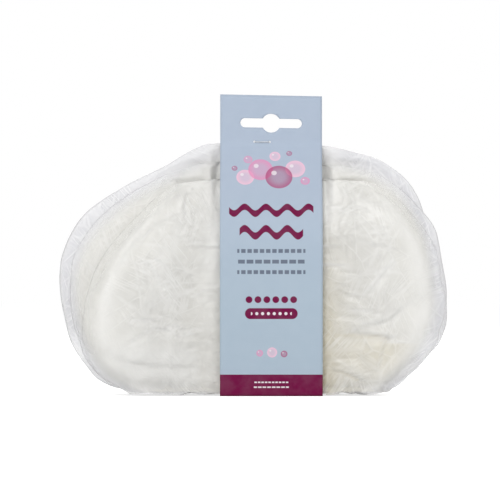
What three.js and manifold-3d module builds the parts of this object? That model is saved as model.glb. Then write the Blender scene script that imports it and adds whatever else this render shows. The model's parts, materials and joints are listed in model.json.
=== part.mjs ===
// A retail pack of six folded film shower caps, standing in a folded card sleeve with a hang slot.
// Each cap is a thin film bag, gathered at its mouth by an elastic loop that sits in the hem.
//
// Units are millimetres. +Z is up, the front of the sleeve faces -Y, and the origin is the centre
// of the sleeve's underside, which stands on a shelf. The caps lie flat, one behind the other, and
// each can be drawn out of the sleeve sideways, along X.

import * as THREE from 'three';
import { mergeVertices } from 'three/addons/utils/BufferGeometryUtils.js';
import Module from 'manifold-3d';

const wasm = await Module();
wasm.setup();

// Card sleeve: one strip of card, folded under the caps, with its two ends stapled together on top
const CARD_WIDTH = 53;
const CARD_HEIGHT = 156;
const CARD_THICKNESS = 0.5;
const SHOULDER_DROP = 42; // height in which a panel leans out from the header to its full depth
const LAYER_GAP = 0.4; // between the two layers of the header
const NECK_SETBACK = 2.5; // length of the soft bend under the header, on each side of the corner
const SHOULDER_SETBACK = 14; // the same for the soft bend at the shoulder
const CREASE_SETBACK = 1.5; // the same for the two creases of the base
const BEND_STEPS = 6; // facets of one bend

// Hang slot: a round peg hole with a long slot through it, cut through both layers of the header
const SLOT_LENGTH = 32;
const SLOT_HEIGHT = 4.8;
const PEG_HOLE_DIAMETER = 9.8;
const SLOT_BELOW_TOP = 14.5;
const SLOT_SEGMENTS = 24;

// Staple: round wire, pushed through both layers under the slot and clinched behind
const STAPLE_WIRE = 0.6;
const STAPLE_CROWN = 8;
const STAPLE_SHIFT = -4.7; // sideways place of the staple on the header
const STAPLE_BELOW_SLOT = 9.8;
const STAPLE_ABOVE_NECK = 1.7; // the two layers part this far below the staple
const STAPLE_CLINCH = 3.2; // length of wire bent over behind the card
const STAPLE_BEND = 0.7; // radius of the wire's bends
const STAPLE_CLEARANCE = 0.3; // between the wire and the card, around it and behind its crown

// Caps: the size that all six share
const CAP_THICKNESS = 8.6; // a flattened cap, from film to film
const CAP_GAP = 0.4; // between neighbouring caps, and between the caps and the sleeve
const FILM_THICKNESS = 0.6;
const HEM_WIDTH = 132; // the gathered mouth, lying flat
const HOLLOW_FLARE = 6; // height in which the inside widens above the hem
const HOLLOW_SIDE_INSET = 3.5; // how far inside a cap's side edge its hollow ends
const WIDEST_SHARE = 0.42; // where a cap is widest, as a share of its own height
const EDGE_ROUNDING = 14; // length of the tapered side edge of a cap
const PLEAT_COUNT = 10; // pleats on each face
const PLEAT_DEPTH = 0.5;
const PLEAT_REACH = 60; // height at which the pleats have run out

// Elastic: a flat band, joined into a loop
const ELASTIC_WIDTH = 2.8;
const ELASTIC_THICKNESS = 0.5;
const ELASTIC_CLEARANCE = 0.3; // between the elastic and the pocket of the hem, on all sides
const HEM_LIP_HEIGHT = 0.8; // film above and below the pocket
const HEM_LIP_COVER = 0.1; // how much of the elastic's thickness the two lips cover

// Each cap by itself, from front to back
const CAP_WIDTHS = [184, 198, 200, 199, 194, 180]; // the sleeve bunches up the outer caps most
const CAP_SHIFTS = [-5, -15, -12, -11, -14, -9]; // sideways place of the hem
const CAP_LEANS = [5, 9, 9, 8, 10, 6]; // how far the crown leans sideways from the hem
const CROWN_POWERS = [3, 2.4, 2.2, 2.2, 2.4, 3]; // roundness of the crown's outline: 2 is an ellipse

// Facets of the lofts
const EDGE_STEPS = 6; // facets of one tapered side edge
const LOWER_LOOPS = 6; // loops from the hem to the widest one
const UPPER_LOOPS = 9; // loops from the widest one to the top

// Sizes that follow from the ones above
const capPitch = CAP_THICKNESS + CAP_GAP;
const stackDepth = CAP_WIDTHS.length * capPitch - CAP_GAP;
const panelOffset = stackDepth / 2 + CAP_GAP + CARD_THICKNESS / 2; // mid-line of a panel from Y = 0
const layerOffset = (LAYER_GAP + CARD_THICKNESS) / 2; // mid-line of a header layer from Y = 0
const slotHeight = CARD_HEIGHT - SLOT_BELOW_TOP;
const stapleHeight = slotHeight - STAPLE_BELOW_SLOT;
const neckHeight = stapleHeight - STAPLE_ABOVE_NECK;
const shoulderHeight = neckHeight - SHOULDER_DROP;
const capFloor = CARD_THICKNESS + CAP_GAP; // underside of the caps
const headerDepth = 2 * CARD_THICKNESS + LAYER_GAP;
const pocketHeight = ELASTIC_WIDTH + 2 * ELASTIC_CLEARANCE;
const hemHeight = pocketHeight + 2 * HEM_LIP_HEIGHT;
const pocketInset = PLEAT_DEPTH + FILM_THICKNESS; // from a cap's faces to the wall of the pocket
const elasticInset = pocketInset + ELASTIC_CLEARANCE;
const mouthInset = elasticInset + HEM_LIP_COVER;

const cardMaterial = new THREE.MeshStandardMaterial({ color: 0xaebfd2, roughness: 0.55, metalness: 0 });
const stapleMaterial = new THREE.MeshStandardMaterial({ color: 0x9a9ca0, roughness: 0.35, metalness: 1 });
const filmMaterial = new THREE.MeshStandardMaterial({
  color: 0xeeeee8,
  roughness: 0.35,
  metalness: 0,
  transparent: true,
  opacity: 0.55,
});
const elasticMaterial = new THREE.MeshStandardMaterial({ color: 0xe8e4d2, roughness: 0.8, metalness: 0 });

// Turns a closed three.js geometry into a solid for joining and cutting.
function toSolid(geometry) {
  const bare = geometry.clone();
  bare.deleteAttribute('normal');
  bare.deleteAttribute('uv');
  const merged = mergeVertices(bare, 1e-4);
  return new wasm.Manifold(new wasm.Mesh({
    numProp: 3,
    vertProperties: new Float32Array(merged.attributes.position.array),
    triVerts: new Uint32Array(merged.index.array),
  }));
}

// Turns a solid back into a three.js geometry.
function toGeometry(solid) {
  const mesh = solid.getMesh();
  const geometry = new THREE.BufferGeometry();
  geometry.setAttribute('position', new THREE.BufferAttribute(new Float32Array(mesh.vertProperties), 3));
  geometry.setIndex(new THREE.BufferAttribute(new Uint32Array(mesh.triVerts), 1));
  geometry.computeVertexNormals();
  return geometry;
}

function namedMesh(name, geometry, material) {
  const mesh = new THREE.Mesh(geometry, material);
  mesh.name = name;
  return mesh;
}

// A path through the corners, each softened by a curve that starts and ends one setback from it.
function softenedPath(corners) {
  const path = new THREE.Path();
  path.moveTo(corners[0].point.x, corners[0].point.y);
  for (let i = 1; i < corners.length - 1; i += 1) {
    const { point, setback } = corners[i];
    const before = corners[i - 1].point.clone().sub(point).setLength(setback).add(point);
    const after = corners[i + 1].point.clone().sub(point).setLength(setback).add(point);
    path.lineTo(before.x, before.y);
    path.quadraticCurveTo(point.x, point.y, after.x, after.y);
  }
  const last = corners[corners.length - 1].point;
  path.lineTo(last.x, last.y);
  return path.getPoints(BEND_STEPS);
}

// The outline of a strip of even thickness that follows a line of points.
function stripShape(points, thickness) {
  const sideA = [];
  const sideB = [];
  points.forEach((point, i) => {
    const before = points[Math.max(i - 1, 0)];
    const after = points[Math.min(i + 1, points.length - 1)];
    const inDirection = (i > 0 ? point.clone().sub(before) : after.clone().sub(point)).normalize();
    const outDirection = (i < points.length - 1 ? after.clone().sub(point) : inDirection).clone().normalize();
    const along = inDirection.clone().add(outDirection).normalize();
    const reach = thickness / 2 / along.dot(inDirection);
    const across = new THREE.Vector2(-along.y, along.x).multiplyScalar(reach);
    sideA.push(point.clone().add(across));
    sideB.push(point.clone().sub(across));
  });
  return new THREE.Shape([...sideA, ...sideB.reverse()]);
}

// The mid-line of the sleeve seen from the side, as (Y, Z), from the front header down and round.
function sleeveCorners() {
  const half = [
    { point: new THREE.Vector2(-layerOffset, CARD_HEIGHT), setback: 0 },
    { point: new THREE.Vector2(-layerOffset, neckHeight), setback: NECK_SETBACK },
    { point: new THREE.Vector2(-panelOffset, shoulderHeight), setback: SHOULDER_SETBACK },
    { point: new THREE.Vector2(-panelOffset, CARD_THICKNESS / 2), setback: CREASE_SETBACK },
  ];
  const mirrored = half.map(({ point, setback }) => ({
    point: new THREE.Vector2(-point.x, point.y),
    setback,
  }));
  return [...half, ...mirrored.reverse()];
}

const sleeveLine = softenedPath(sleeveCorners());

// Half of the clear depth inside the sleeve at a height, taken from its front panel.
function roomAt(height) {
  const front = sleeveLine.filter((point) => point.x < 0);
  for (let i = 0; i + 1 < front.length; i += 1) {
    const upper = front[i];
    const lower = front[i + 1];
    if (height <= upper.y && height >= lower.y && upper.y > lower.y) {
      const share = (upper.y - height) / (upper.y - lower.y);
      const slope = Math.hypot(lower.x - upper.x, lower.y - upper.y) / (upper.y - lower.y);
      return -THREE.MathUtils.lerp(upper.x, lower.x, share) - (CARD_THICKNESS / 2) * slope;
    }
  }
  return height > neckHeight ? LAYER_GAP / 2 : panelOffset - CARD_THICKNESS / 2;
}

// The card: the folded strip, with the hang slot and the staple's two holes cut through its header.
function cardSleeve() {
  const strip = new THREE.ExtrudeGeometry(stripShape(sleeveLine, CARD_THICKNESS), {
    depth: CARD_WIDTH,
    bevelEnabled: false,
  });
  strip.translate(0, 0, -CARD_WIDTH / 2);
  const sideViewToFrame = new THREE.Matrix4().makeBasis(
    new THREE.Vector3(0, 1, 0),
    new THREE.Vector3(0, 0, 1),
    new THREE.Vector3(1, 0, 0),
  );
  strip.applyMatrix4(sideViewToFrame);

  const cutDepth = headerDepth * 3;
  const endRadius = SLOT_HEIGHT / 2;
  const endCentre = SLOT_LENGTH / 2 - endRadius;
  const slotOutline = new THREE.Shape();
  slotOutline.absarc(endCentre, 0, endRadius, -Math.PI / 2, Math.PI / 2, false);
  slotOutline.absarc(-endCentre, 0, endRadius, Math.PI / 2, (3 * Math.PI) / 2, false);
  const slot = new THREE.ExtrudeGeometry(slotOutline, {
    depth: cutDepth,
    bevelEnabled: false,
    curveSegments: SLOT_SEGMENTS / 2,
  });
  slot.translate(0, 0, -cutDepth / 2).rotateX(Math.PI / 2).translate(0, 0, slotHeight);
  const pegHole = new THREE.CylinderGeometry(
    PEG_HOLE_DIAMETER / 2,
    PEG_HOLE_DIAMETER / 2,
    cutDepth,
    SLOT_SEGMENTS,
  );
  pegHole.translate(0, 0, slotHeight);

  let card = toSolid(strip).subtract(toSolid(slot)).subtract(toSolid(pegHole));
  const holeSize = STAPLE_WIRE + 2 * STAPLE_CLEARANCE;
  for (const side of [-1, 1]) {
    const stapleHole = new THREE.BoxGeometry(holeSize, cutDepth, holeSize);
    stapleHole.translate(STAPLE_SHIFT + (side * STAPLE_CROWN) / 2, 0, stapleHeight);
    card = card.subtract(toSolid(stapleHole));
  }
  return toGeometry(card);
}

// The staple: crown in front, two legs through the card, and their ends bent inwards behind it.
function staple() {
  const reach = headerDepth / 2 + STAPLE_CLEARANCE + STAPLE_WIRE / 2;
  const legX = STAPLE_CROWN / 2;
  const path = new THREE.CurvePath();
  const corners = [
    new THREE.Vector3(-legX + STAPLE_CLINCH, reach, 0),
    new THREE.Vector3(-legX, reach, 0),
    new THREE.Vector3(-legX, -reach, 0),
    new THREE.Vector3(legX, -reach, 0),
    new THREE.Vector3(legX, reach, 0),
    new THREE.Vector3(legX - STAPLE_CLINCH, reach, 0),
  ];
  let from = corners[0];
  for (let i = 1; i < corners.length - 1; i += 1) {
    const before = corners[i - 1].clone().sub(corners[i]).setLength(STAPLE_BEND).add(corners[i]);
    const after = corners[i + 1].clone().sub(corners[i]).setLength(STAPLE_BEND).add(corners[i]);
    path.add(new THREE.LineCurve3(from, before));
    path.add(new THREE.QuadraticBezierCurve3(before, corners[i], after));
    from = after;
  }
  path.add(new THREE.LineCurve3(from, corners[corners.length - 1]));
  const section = new THREE.Shape();
  section.absarc(0, 0, STAPLE_WIRE / 2, 0, 2 * Math.PI, false);
  const wire = new THREE.ExtrudeGeometry(section, {
    steps: 48,
    extrudePath: path,
    curveSegments: 3,
    bevelEnabled: false,
  });
  return toGeometry(toSolid(wire));
}

// One level loop of a flattened bag: two straight faces joined by tapered ends, seen from above.
// The loop runs from face lowY to face highY, and pleat pulls in every second point of both faces.
function flatLoop({ centreX, halfWidth, lowY, highY, height, pleat, facePoints }) {
  const middle = (lowY + highY) / 2;
  const halfDepth = (highY - lowY) / 2;
  const taper = Math.min(EDGE_ROUNDING, halfWidth);
  const straight = halfWidth - taper;
  const loop = [];
  for (const side of [1, -1]) {
    for (let i = 0; i <= EDGE_STEPS; i += 1) {
      const angle = -Math.PI / 2 + (Math.PI * i) / EDGE_STEPS;
      const x = side * (straight + taper * Math.cos(angle));
      loop.push(new THREE.Vector3(centreX + x, middle + side * halfDepth * Math.sin(angle), height));
    }
    for (let i = 1; i < facePoints; i += 1) {
      const x = side * straight * (1 - (2 * i) / facePoints);
      const pulledIn = i % 2 === 1 ? pleat : 0;
      loop.push(new THREE.Vector3(centreX + x, middle + side * (halfDepth - pulledIn), height));
    }
  }
  return loop;
}

// A closed skin over loops of equal length, from the lowest to the highest, with flat ends.
function loft(loops) {
  const count = loops[0].length;
  const positions = [];
  const triangles = [];
  loops.forEach((loop) => loop.forEach((point) => positions.push(point.x, point.y, point.z)));
  for (let level = 0; level + 1 < loops.length; level += 1) {
    for (let i = 0; i < count; i += 1) {
      const a = level * count + i;
      const b = level * count + ((i + 1) % count);
      triangles.push(a, b, b + count, a, b + count, a + count);
    }
  }
  const addEnd = (level, upwards) => {
    const middle = new THREE.Vector3();
    loops[level].forEach((point) => middle.addScaledVector(point, 1 / count));
    positions.push(middle.x, middle.y, middle.z);
    const hub = positions.length / 3 - 1;
    for (let i = 0; i < count; i += 1) {
      const a = level * count + i;
      const b = level * count + ((i + 1) % count);
      triangles.push(hub, upwards ? a : b, upwards ? b : a);
    }
  };
  addEnd(0, false);
  addEnd(loops.length - 1, true);
  const geometry = new THREE.BufferGeometry();
  geometry.setAttribute('position', new THREE.Float32BufferAttribute(positions, 3));
  geometry.setIndex(triangles);
  return geometry;
}

// The shape of one cap in its own place: its height, its outline and its two faces at any height.
function capShape(width, lean, crownPower, depthPlace) {
  const innerFace = Math.max(Math.abs(depthPlace) - CAP_THICKNESS / 2, 0);
  let low = capFloor;
  let high = neckHeight;
  for (let i = 0; i < 40; i += 1) {
    const middle = (low + high) / 2;
    const fits = roomAt(middle) - CAP_GAP > innerFace + 2 * FILM_THICKNESS;
    low = fits ? middle : low;
    high = fits ? high : middle;
  }
  const height = low - capFloor;
  const widest = WIDEST_SHARE * height;
  const halfWidthAt = (z) => {
    if (z >= widest) {
      const share = Math.min((z - widest) / (height - widest), 1);
      return (width / 2) * (1 - share ** crownPower) ** (1 / crownPower);
    }
    const share = (widest - z) / widest;
    return HEM_WIDTH / 2 + (width / 2 - HEM_WIDTH / 2) * Math.sqrt(1 - share * share);
  };
  const facesAt = (z) => {
    const room = roomAt(z + capFloor) - CAP_GAP;
    return {
      lowY: Math.max(-CAP_THICKNESS / 2, -room - depthPlace),
      highY: Math.min(CAP_THICKNESS / 2, room - depthPlace),
    };
  };
  const centreAt = (z) => lean * (z / height);
  return { height, widest, halfWidthAt, facesAt, centreAt };
}

// Heights of a cap's loops, closer together where its outline turns in at the hem and at the crown.
function loopHeights({ height, widest }) {
  const heights = [];
  for (let i = 0; i < LOWER_LOOPS; i += 1) {
    heights.push(widest * (1 - Math.cos((Math.PI / 2) * (i / LOWER_LOOPS))));
  }
  const crownEnd = 0.94; // the last loop is short of the very top, where the outline would close
  for (let i = 0; i < UPPER_LOOPS; i += 1) {
    const share = Math.sin((Math.PI / 2) * (i / (UPPER_LOOPS - 1)) * crownEnd);
    heights.push(widest + (height - widest) * share);
  }
  return heights;
}

// How far the pleats pull the film in at a height above the hem.
function pleatAt(z) {
  return PLEAT_DEPTH * Math.max(0, 1 - z / PLEAT_REACH);
}

// A plain loop round the mouth, a given distance inside the cap's outer faces.
function mouthLoop(inset, height) {
  const halfDepth = CAP_THICKNESS / 2 - inset;
  return flatLoop({
    centreX: 0,
    halfWidth: HEM_WIDTH / 2 - inset,
    lowY: -halfDepth,
    highY: halfDepth,
    height,
    pleat: 0,
    facePoints: 1,
  });
}

// The film bag of a cap: a pleated outside, a hollow inside, and a hem with a pocket round its mouth.
function capFilm(shape) {
  const heights = loopHeights(shape);
  const outside = heights.map((z) => flatLoop({
    centreX: shape.centreAt(z),
    halfWidth: shape.halfWidthAt(z),
    ...shape.facesAt(z),
    height: z,
    pleat: pleatAt(z),
    facePoints: 2 * PLEAT_COUNT,
  }));

  const hollow = [mouthLoop(mouthInset, -hemHeight), mouthLoop(mouthInset, hemHeight)];
  heights.forEach((z) => {
    const { lowY, highY } = shape.facesAt(z);
    const wall = FILM_THICKNESS + pleatAt(z);
    const halfWidth = shape.halfWidthAt(z) - HOLLOW_SIDE_INSET;
    const isOpen = highY - lowY > 4 * wall && halfWidth > EDGE_ROUNDING;
    if (z > hemHeight + HOLLOW_FLARE && isOpen) {
      hollow.push(flatLoop({
        centreX: shape.centreAt(z),
        halfWidth,
        lowY: lowY + wall,
        highY: highY - wall,
        height: z,
        pleat: 0,
        facePoints: 1,
      }));
    }
  });

  const pocket = [HEM_LIP_HEIGHT, HEM_LIP_HEIGHT + pocketHeight].map((z) => mouthLoop(pocketInset, z));
  return toGeometry(toSolid(loft(outside)).subtract(toSolid(loft(hollow))).subtract(toSolid(loft(pocket))));
}

// The elastic of a cap: a flat band that runs round the mouth in the hem's pocket.
function capElastic() {
  const outline = (inset) => mouthLoop(inset, 0).map((point) => new THREE.Vector2(point.x, point.y));
  const band = new THREE.Shape(outline(elasticInset));
  band.holes.push(new THREE.Path(outline(elasticInset + ELASTIC_THICKNESS)));
  const geometry = new THREE.ExtrudeGeometry(band, { depth: ELASTIC_WIDTH, bevelEnabled: false });
  geometry.translate(0, 0, HEM_LIP_HEIGHT + ELASTIC_CLEARANCE);
  return toGeometry(toSolid(geometry));
}

const pack = new THREE.Group();
pack.name = 'shower_cap_pack';

const sleeve = new THREE.Group();
sleeve.add(namedMesh('card_sleeve', cardSleeve(), cardMaterial));
const stapleMesh = namedMesh('staple', staple(), stapleMaterial);
stapleMesh.position.set(STAPLE_SHIFT, 0, stapleHeight);
sleeve.add(stapleMesh);
pack.add(sleeve);

CAP_WIDTHS.forEach((width, place) => {
  const name = `cap_${place + 1}`;
  const depthPlace = (place - (CAP_WIDTHS.length - 1) / 2) * capPitch;
  const shape = capShape(width, CAP_LEANS[place], CROWN_POWERS[place], depthPlace);
  const cap = new THREE.Group();
  cap.position.set(CAP_SHIFTS[place], depthPlace, capFloor);
  cap.add(namedMesh(`${name}_film`, capFilm(shape), filmMaterial));
  cap.add(namedMesh(`${name}_elastic`, capElastic(), elasticMaterial));
  pack.add(cap);
});

export default pack;
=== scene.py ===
"""A retail pack of film shower caps in a folded card sleeve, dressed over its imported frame.

Sizes in the classes are millimetres, in the frame's own axes: +Z up, the printed front towards -Y.
Meshes are written in metres, with every object at the origin.
"""

from __future__ import annotations

import json
import logging
import math
from dataclasses import dataclass, field
from enum import Enum
from typing import Callable

import bmesh
import bpy
import numpy as np
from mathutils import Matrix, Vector

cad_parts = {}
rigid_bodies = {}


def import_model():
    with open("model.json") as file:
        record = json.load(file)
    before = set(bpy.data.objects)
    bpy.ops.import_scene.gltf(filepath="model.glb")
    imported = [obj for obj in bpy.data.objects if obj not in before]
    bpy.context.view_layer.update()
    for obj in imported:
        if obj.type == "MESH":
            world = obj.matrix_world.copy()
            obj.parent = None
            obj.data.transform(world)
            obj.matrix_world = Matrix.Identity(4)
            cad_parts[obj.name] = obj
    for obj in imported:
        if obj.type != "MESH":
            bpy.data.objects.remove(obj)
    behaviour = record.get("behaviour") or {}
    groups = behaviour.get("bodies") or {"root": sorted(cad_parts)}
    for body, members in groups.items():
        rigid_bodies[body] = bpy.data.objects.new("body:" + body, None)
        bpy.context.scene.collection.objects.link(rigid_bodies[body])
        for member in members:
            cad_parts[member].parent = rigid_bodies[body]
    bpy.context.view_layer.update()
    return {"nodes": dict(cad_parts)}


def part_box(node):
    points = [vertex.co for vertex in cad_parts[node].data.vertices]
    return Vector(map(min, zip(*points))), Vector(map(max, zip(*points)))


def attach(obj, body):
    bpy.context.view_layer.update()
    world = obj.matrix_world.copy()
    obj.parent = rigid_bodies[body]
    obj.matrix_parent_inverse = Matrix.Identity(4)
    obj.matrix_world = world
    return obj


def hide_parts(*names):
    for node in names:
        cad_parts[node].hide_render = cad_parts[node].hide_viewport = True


MM = 0.001
SPAN_STEPS = 24  # steps between two corners of a smooth line
PRINT_UNIT = 100.0  # millimetres of card in one unit of its print map
LOG = logging.getLogger("shower_cap_pack")

Array = np.ndarray
Piece = bpy.types.Object
Socket = bpy.types.NodeSocket
Colour = tuple[float, float, float, float]
Points = tuple[tuple[float, float], ...]
Span = tuple[float, float]


class Row(Enum):
    """The kinds of small mark that a printed row is made of."""

    DOTS = "dots"
    DASHES = "dashes"


def smoothstep(low: float, high: float, value: Array) -> Array:
    """Eases values from 0 at low to 1 at high, and holds them beyond both."""
    share = np.clip((value - low) / (high - low), 0.0, 1.0)
    return share * share * (3.0 - 2.0 * share)


def bell(value: Array, centre: float, width: float) -> Array:
    """Gives a bell curve that is 1 at its centre."""
    return np.exp(-(((value - centre) / width) ** 2))


def fade(value: Array, edge: float, length: float) -> Array:
    """Gives 1 up to an edge, and less and less beyond it."""
    return np.exp(-np.maximum(value - edge, 0.0) / length)


def smooth_line(corners: Points, samples: int, easing: float = 1.0) -> Array:
    """Draws a smooth line through points, stepped along its length.

    Args:
        corners: The points that the line passes through.
        samples: How many points the result has.
        easing: 1 for even steps, and less for steps that are longer at the start.

    Returns:
        An array of points, from the first corner to the last.
    """
    known = np.array(corners, float)
    padded = np.vstack([2 * known[0] - known[1], known, 2 * known[-1] - known[-2]])
    share = np.linspace(0.0, 1.0, SPAN_STEPS, endpoint=False)[:, None]
    spans = []
    for i in range(len(known) - 1):
        a, b, c, d = padded[i : i + 4]
        curve = (c - a) * share + (2 * a - 5 * b + 4 * c - d) * share**2
        spans.append(b + 0.5 * (curve + (3 * b - a - 3 * c + d) * share**3))
    dense = np.vstack([*spans, known[-1:]])
    along = np.concatenate([[0.0], np.cumsum(np.linalg.norm(np.diff(dense, axis=0), axis=1))])
    places = along[-1] * np.linspace(0.0, 1.0, samples) ** easing
    return np.stack([np.interp(places, along, dense[:, axis]) for axis in range(2)], axis=1)


def off_segment(across: Array, up: Array, start: Array, way: Array) -> tuple:
    """Places points against a straight segment.

    Args:
        across: X of the points.
        up: Z of the points.
        start: First end of the segment.
        way: The way from there to its other end.

    Returns:
        X and Z from the segment's start, then X and Z from its nearest point.
    """
    x, z = across - start[0], up - start[1]
    share = np.clip((x * way[0] + z * way[1]) / (way @ way), 0.0, 1.0)
    return x, z, x - share * way[0], z - share * way[1]


def depth_inside(across: Array, up: Array, outline: Array) -> Array:
    """Tells how far points lie inside a closed outline.

    Args:
        across: X of the points.
        up: Z of the points.
        outline: Corners of the closed outline.

    Returns:
        The distance from the outline, below 0 outside it.
    """
    nearest = np.full(across.shape, np.inf)
    inside = np.zeros(across.shape, bool)
    for start, end in zip(outline, np.roll(outline, -1, axis=0)):
        way = end - start
        x, z, gap_x, gap_z = off_segment(across, up, start, way)
        nearest = np.minimum(nearest, gap_x**2 + gap_z**2)
        if way[1] != 0.0:
            inside ^= ((start[1] > up) != (end[1] > up)) & (x < way[0] * z / way[1])
    return np.where(inside, 1.0, -1.0) * np.sqrt(nearest)


def side_sum(points: Array) -> Array:
    """Adds both side neighbours of the points in all rows but the first and the last."""
    return np.roll(points, 1, axis=1)[1:-1] + np.roll(points, -1, axis=1)[1:-1]


def towards_mean(points: Array) -> Array:
    """Gives the way from the points in the same rows to the mean of their four neighbours."""
    return 0.25 * (side_sum(points) + points[2:] + points[:-2]) - points[1:-1]


def add_object(name: str, data: bpy.types.ID) -> Piece:
    """Adds an object to the scene, at the origin.

    Args:
        name: Name of the object.
        data: Its mesh, curve, lamp or camera.

    Returns:
        The new object.
    """
    piece = bpy.data.objects.new(name, data)
    bpy.context.scene.collection.objects.link(piece)
    return piece


def grid_mesh(name: str, points: Array, faces: list[tuple[int, ...]]) -> Piece:
    """Makes a smooth mesh object at the origin.

    Args:
        name: Name of the object and its mesh.
        points: Places in millimetres, one row for each vertex.
        faces: Vertex numbers of each face.

    Returns:
        The new object, linked to the scene.
    """
    mesh = bpy.data.meshes.new(name)
    mesh.from_pydata((points * MM).tolist(), [], faces)
    mesh.shade_smooth()
    mesh.update()
    return add_object(name, mesh)


def write_uv(mesh: bpy.types.Mesh, name: str, places: Array) -> None:
    """Writes a UV map that gives each vertex one place.

    Args:
        mesh: The mesh to write to.
        name: Name of the map.
        places: The places, one row for each vertex.
    """
    layer = mesh.uv_layers.new(name=name)
    corners = np.array([loop.vertex_index for loop in mesh.loops])
    layer.data.foreach_set("uv", places[corners].astype(np.float32).ravel())


def evaluated_mesh(piece: Piece) -> bpy.types.Mesh:
    """Gives a new plain mesh of a piece as its modifiers leave it."""
    graph = bpy.context.evaluated_depsgraph_get()
    return bpy.data.meshes.new_from_object(piece.evaluated_get(graph), depsgraph=graph)


class NodeSheet:
    """A shader node tree with short calls for the nodes that the finishes use."""

    def __init__(self, tree: bpy.types.NodeTree) -> None:
        """Keeps the tree and its nodes."""
        self.tree = tree
        self.nodes = tree.nodes

    def add(self, kind: str, inputs: dict | None = None, **settings: object) -> bpy.types.Node:
        """Adds a node.

        Args:
            kind: Name of the node type.
            inputs: Values or sockets for its inputs, by name or number.
            **settings: Properties to set on the node.

        Returns:
            The new node.
        """
        node = self.nodes.new(kind)
        for key, value in settings.items():
            setattr(node, key, value)
        for key, value in (inputs or {}).items():
            self.feed(node.inputs[key], value)
        return node

    def feed(self, socket: Socket, value: object) -> None:
        """Links a socket to an input, or sets the input's own value.

        Args:
            socket: The input to feed.
            value: A socket to link, or a plain value.
        """
        if isinstance(value, Socket):
            self.tree.links.new(value, socket)
        else:
            socket.default_value = value

    def math(self, operation: str, *values: object, clamp: bool = False) -> Socket:
        """Adds a Math node.

        Args:
            operation: Name of the operation.
            *values: Its operands, sockets or numbers.
            clamp: Whether the result is held from 0 to 1.

        Returns:
            The result's socket.
        """
        node = self.add("ShaderNodeMath", operation=operation, use_clamp=clamp)
        for socket, value in zip(node.inputs, values):
            self.feed(socket, value)
        return node.outputs[0]

    def distance(self, across: object, along: object) -> Socket:
        """Gives the distance of a place from the origin of its plane."""
        squares = [self.math("MULTIPLY", value, value) for value in (across, along)]
        return self.math("SQRT", self.math("ADD", *squares))

    def ramp(
        self, value: object, low: float, high: float, start: float = 0.0, end: float = 1.0
    ) -> Socket:
        """Eases a value from one range to another, held at both ends.

        Args:
            value: The value to map.
            low: The value that gives start.
            high: The value that gives end.
            start: Result at low.
            end: Result at high.

        Returns:
            The result's socket.
        """
        inputs = {0: value, 1: low, 2: high, 3: start, 4: end}
        node = self.add("ShaderNodeMapRange", inputs, interpolation_type="SMOOTHSTEP")
        return node.outputs[0]

    def mix(self, share: object, first: object, second: object) -> Socket:
        """Mixes two colours.

        Args:
            share: How much of the second colour shows, from 0 to 1.
            first: Colour or socket.
            second: Colour or socket.

        Returns:
            The mixed colour's socket.
        """
        node = self.add("ShaderNodeMix", data_type="RGBA")
        for number, value in zip((0, 6, 7), (share, first, second)):
            self.feed(node.inputs[number], value)
        return node.outputs[2]

    def noise(self, vector: object, scale: float, detail: float = 2.0) -> Socket:
        """Gives the value of a Noise Texture, with its scale in repeats per metre of coordinate."""
        inputs = {"Vector": vector, "Scale": scale, "Detail": detail}
        return self.add("ShaderNodeTexNoise", inputs).outputs[0]

    def cells(self, vector: object, scale: float, feature: str) -> Socket:
        """Gives the distance of a Voronoi Texture, measured by the feature of that name."""
        inputs = {"Vector": vector, "Scale": scale}
        return self.add("ShaderNodeTexVoronoi", inputs, feature=feature).outputs["Distance"]

    def scaled(self, vector: object, scale: tuple, turn: float = 0.0) -> Socket:
        """Turns a vector about Z and then scales it.

        Args:
            vector: Coordinates to change.
            scale: Factors along the three axes.
            turn: Angle in degrees.

        Returns:
            The changed coordinates' socket.
        """
        rotate = self.add("ShaderNodeVectorRotate", {"Vector": vector}, rotation_type="Z_AXIS")
        rotate.inputs["Angle"].default_value = math.radians(turn)
        node = self.add("ShaderNodeVectorMath", {0: rotate.outputs[0]}, operation="MULTIPLY")
        node.inputs[1].default_value = scale
        return node.outputs[0]

    def object_place(self) -> Socket:
        """Gives the piece's own coordinates."""
        return self.add("ShaderNodeTexCoord").outputs["Object"]

    def uv_place(self, name: str) -> Socket:
        """Gives the coordinates of a UV map."""
        return self.add("ShaderNodeUVMap", uv_map=name).outputs[0]

    def attribute(self, name: str) -> Socket:
        """Gives a value that the mesh carries at its points."""
        return self.add("ShaderNodeAttribute", attribute_name=name).outputs["Fac"]

    def bump(self, shader: bpy.types.Node, height: object, strength: float, depth: float) -> None:
        """Gives a shader fine relief of a height, a strength and a depth in metres."""
        inputs = {"Height": height, "Strength": strength, "Distance": depth}
        self.feed(shader.inputs["Normal"], self.add("ShaderNodeBump", inputs).outputs[0])

    def seen(self) -> Socket:
        """Gives 1 for rays that look at a surface, and 0 for those that gather light from it."""
        path = self.add("ShaderNodeLightPath")
        direct = self.math("MAXIMUM", path.outputs["Is Camera Ray"], path.outputs["Is Glossy Ray"])
        return self.math("MAXIMUM", direct, path.outputs["Is Transmission Ray"])


def new_material(name: str) -> tuple[bpy.types.Material, NodeSheet, bpy.types.Node]:
    """Starts a material with one Principled shader.

    Args:
        name: Name of the material.

    Returns:
        The material, its node sheet and its Principled node.
    """
    material = bpy.data.materials.new(name)
    material.use_nodes = True
    sheet = NodeSheet(material.node_tree)
    return material, sheet, sheet.nodes["Principled BSDF"]


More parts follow.
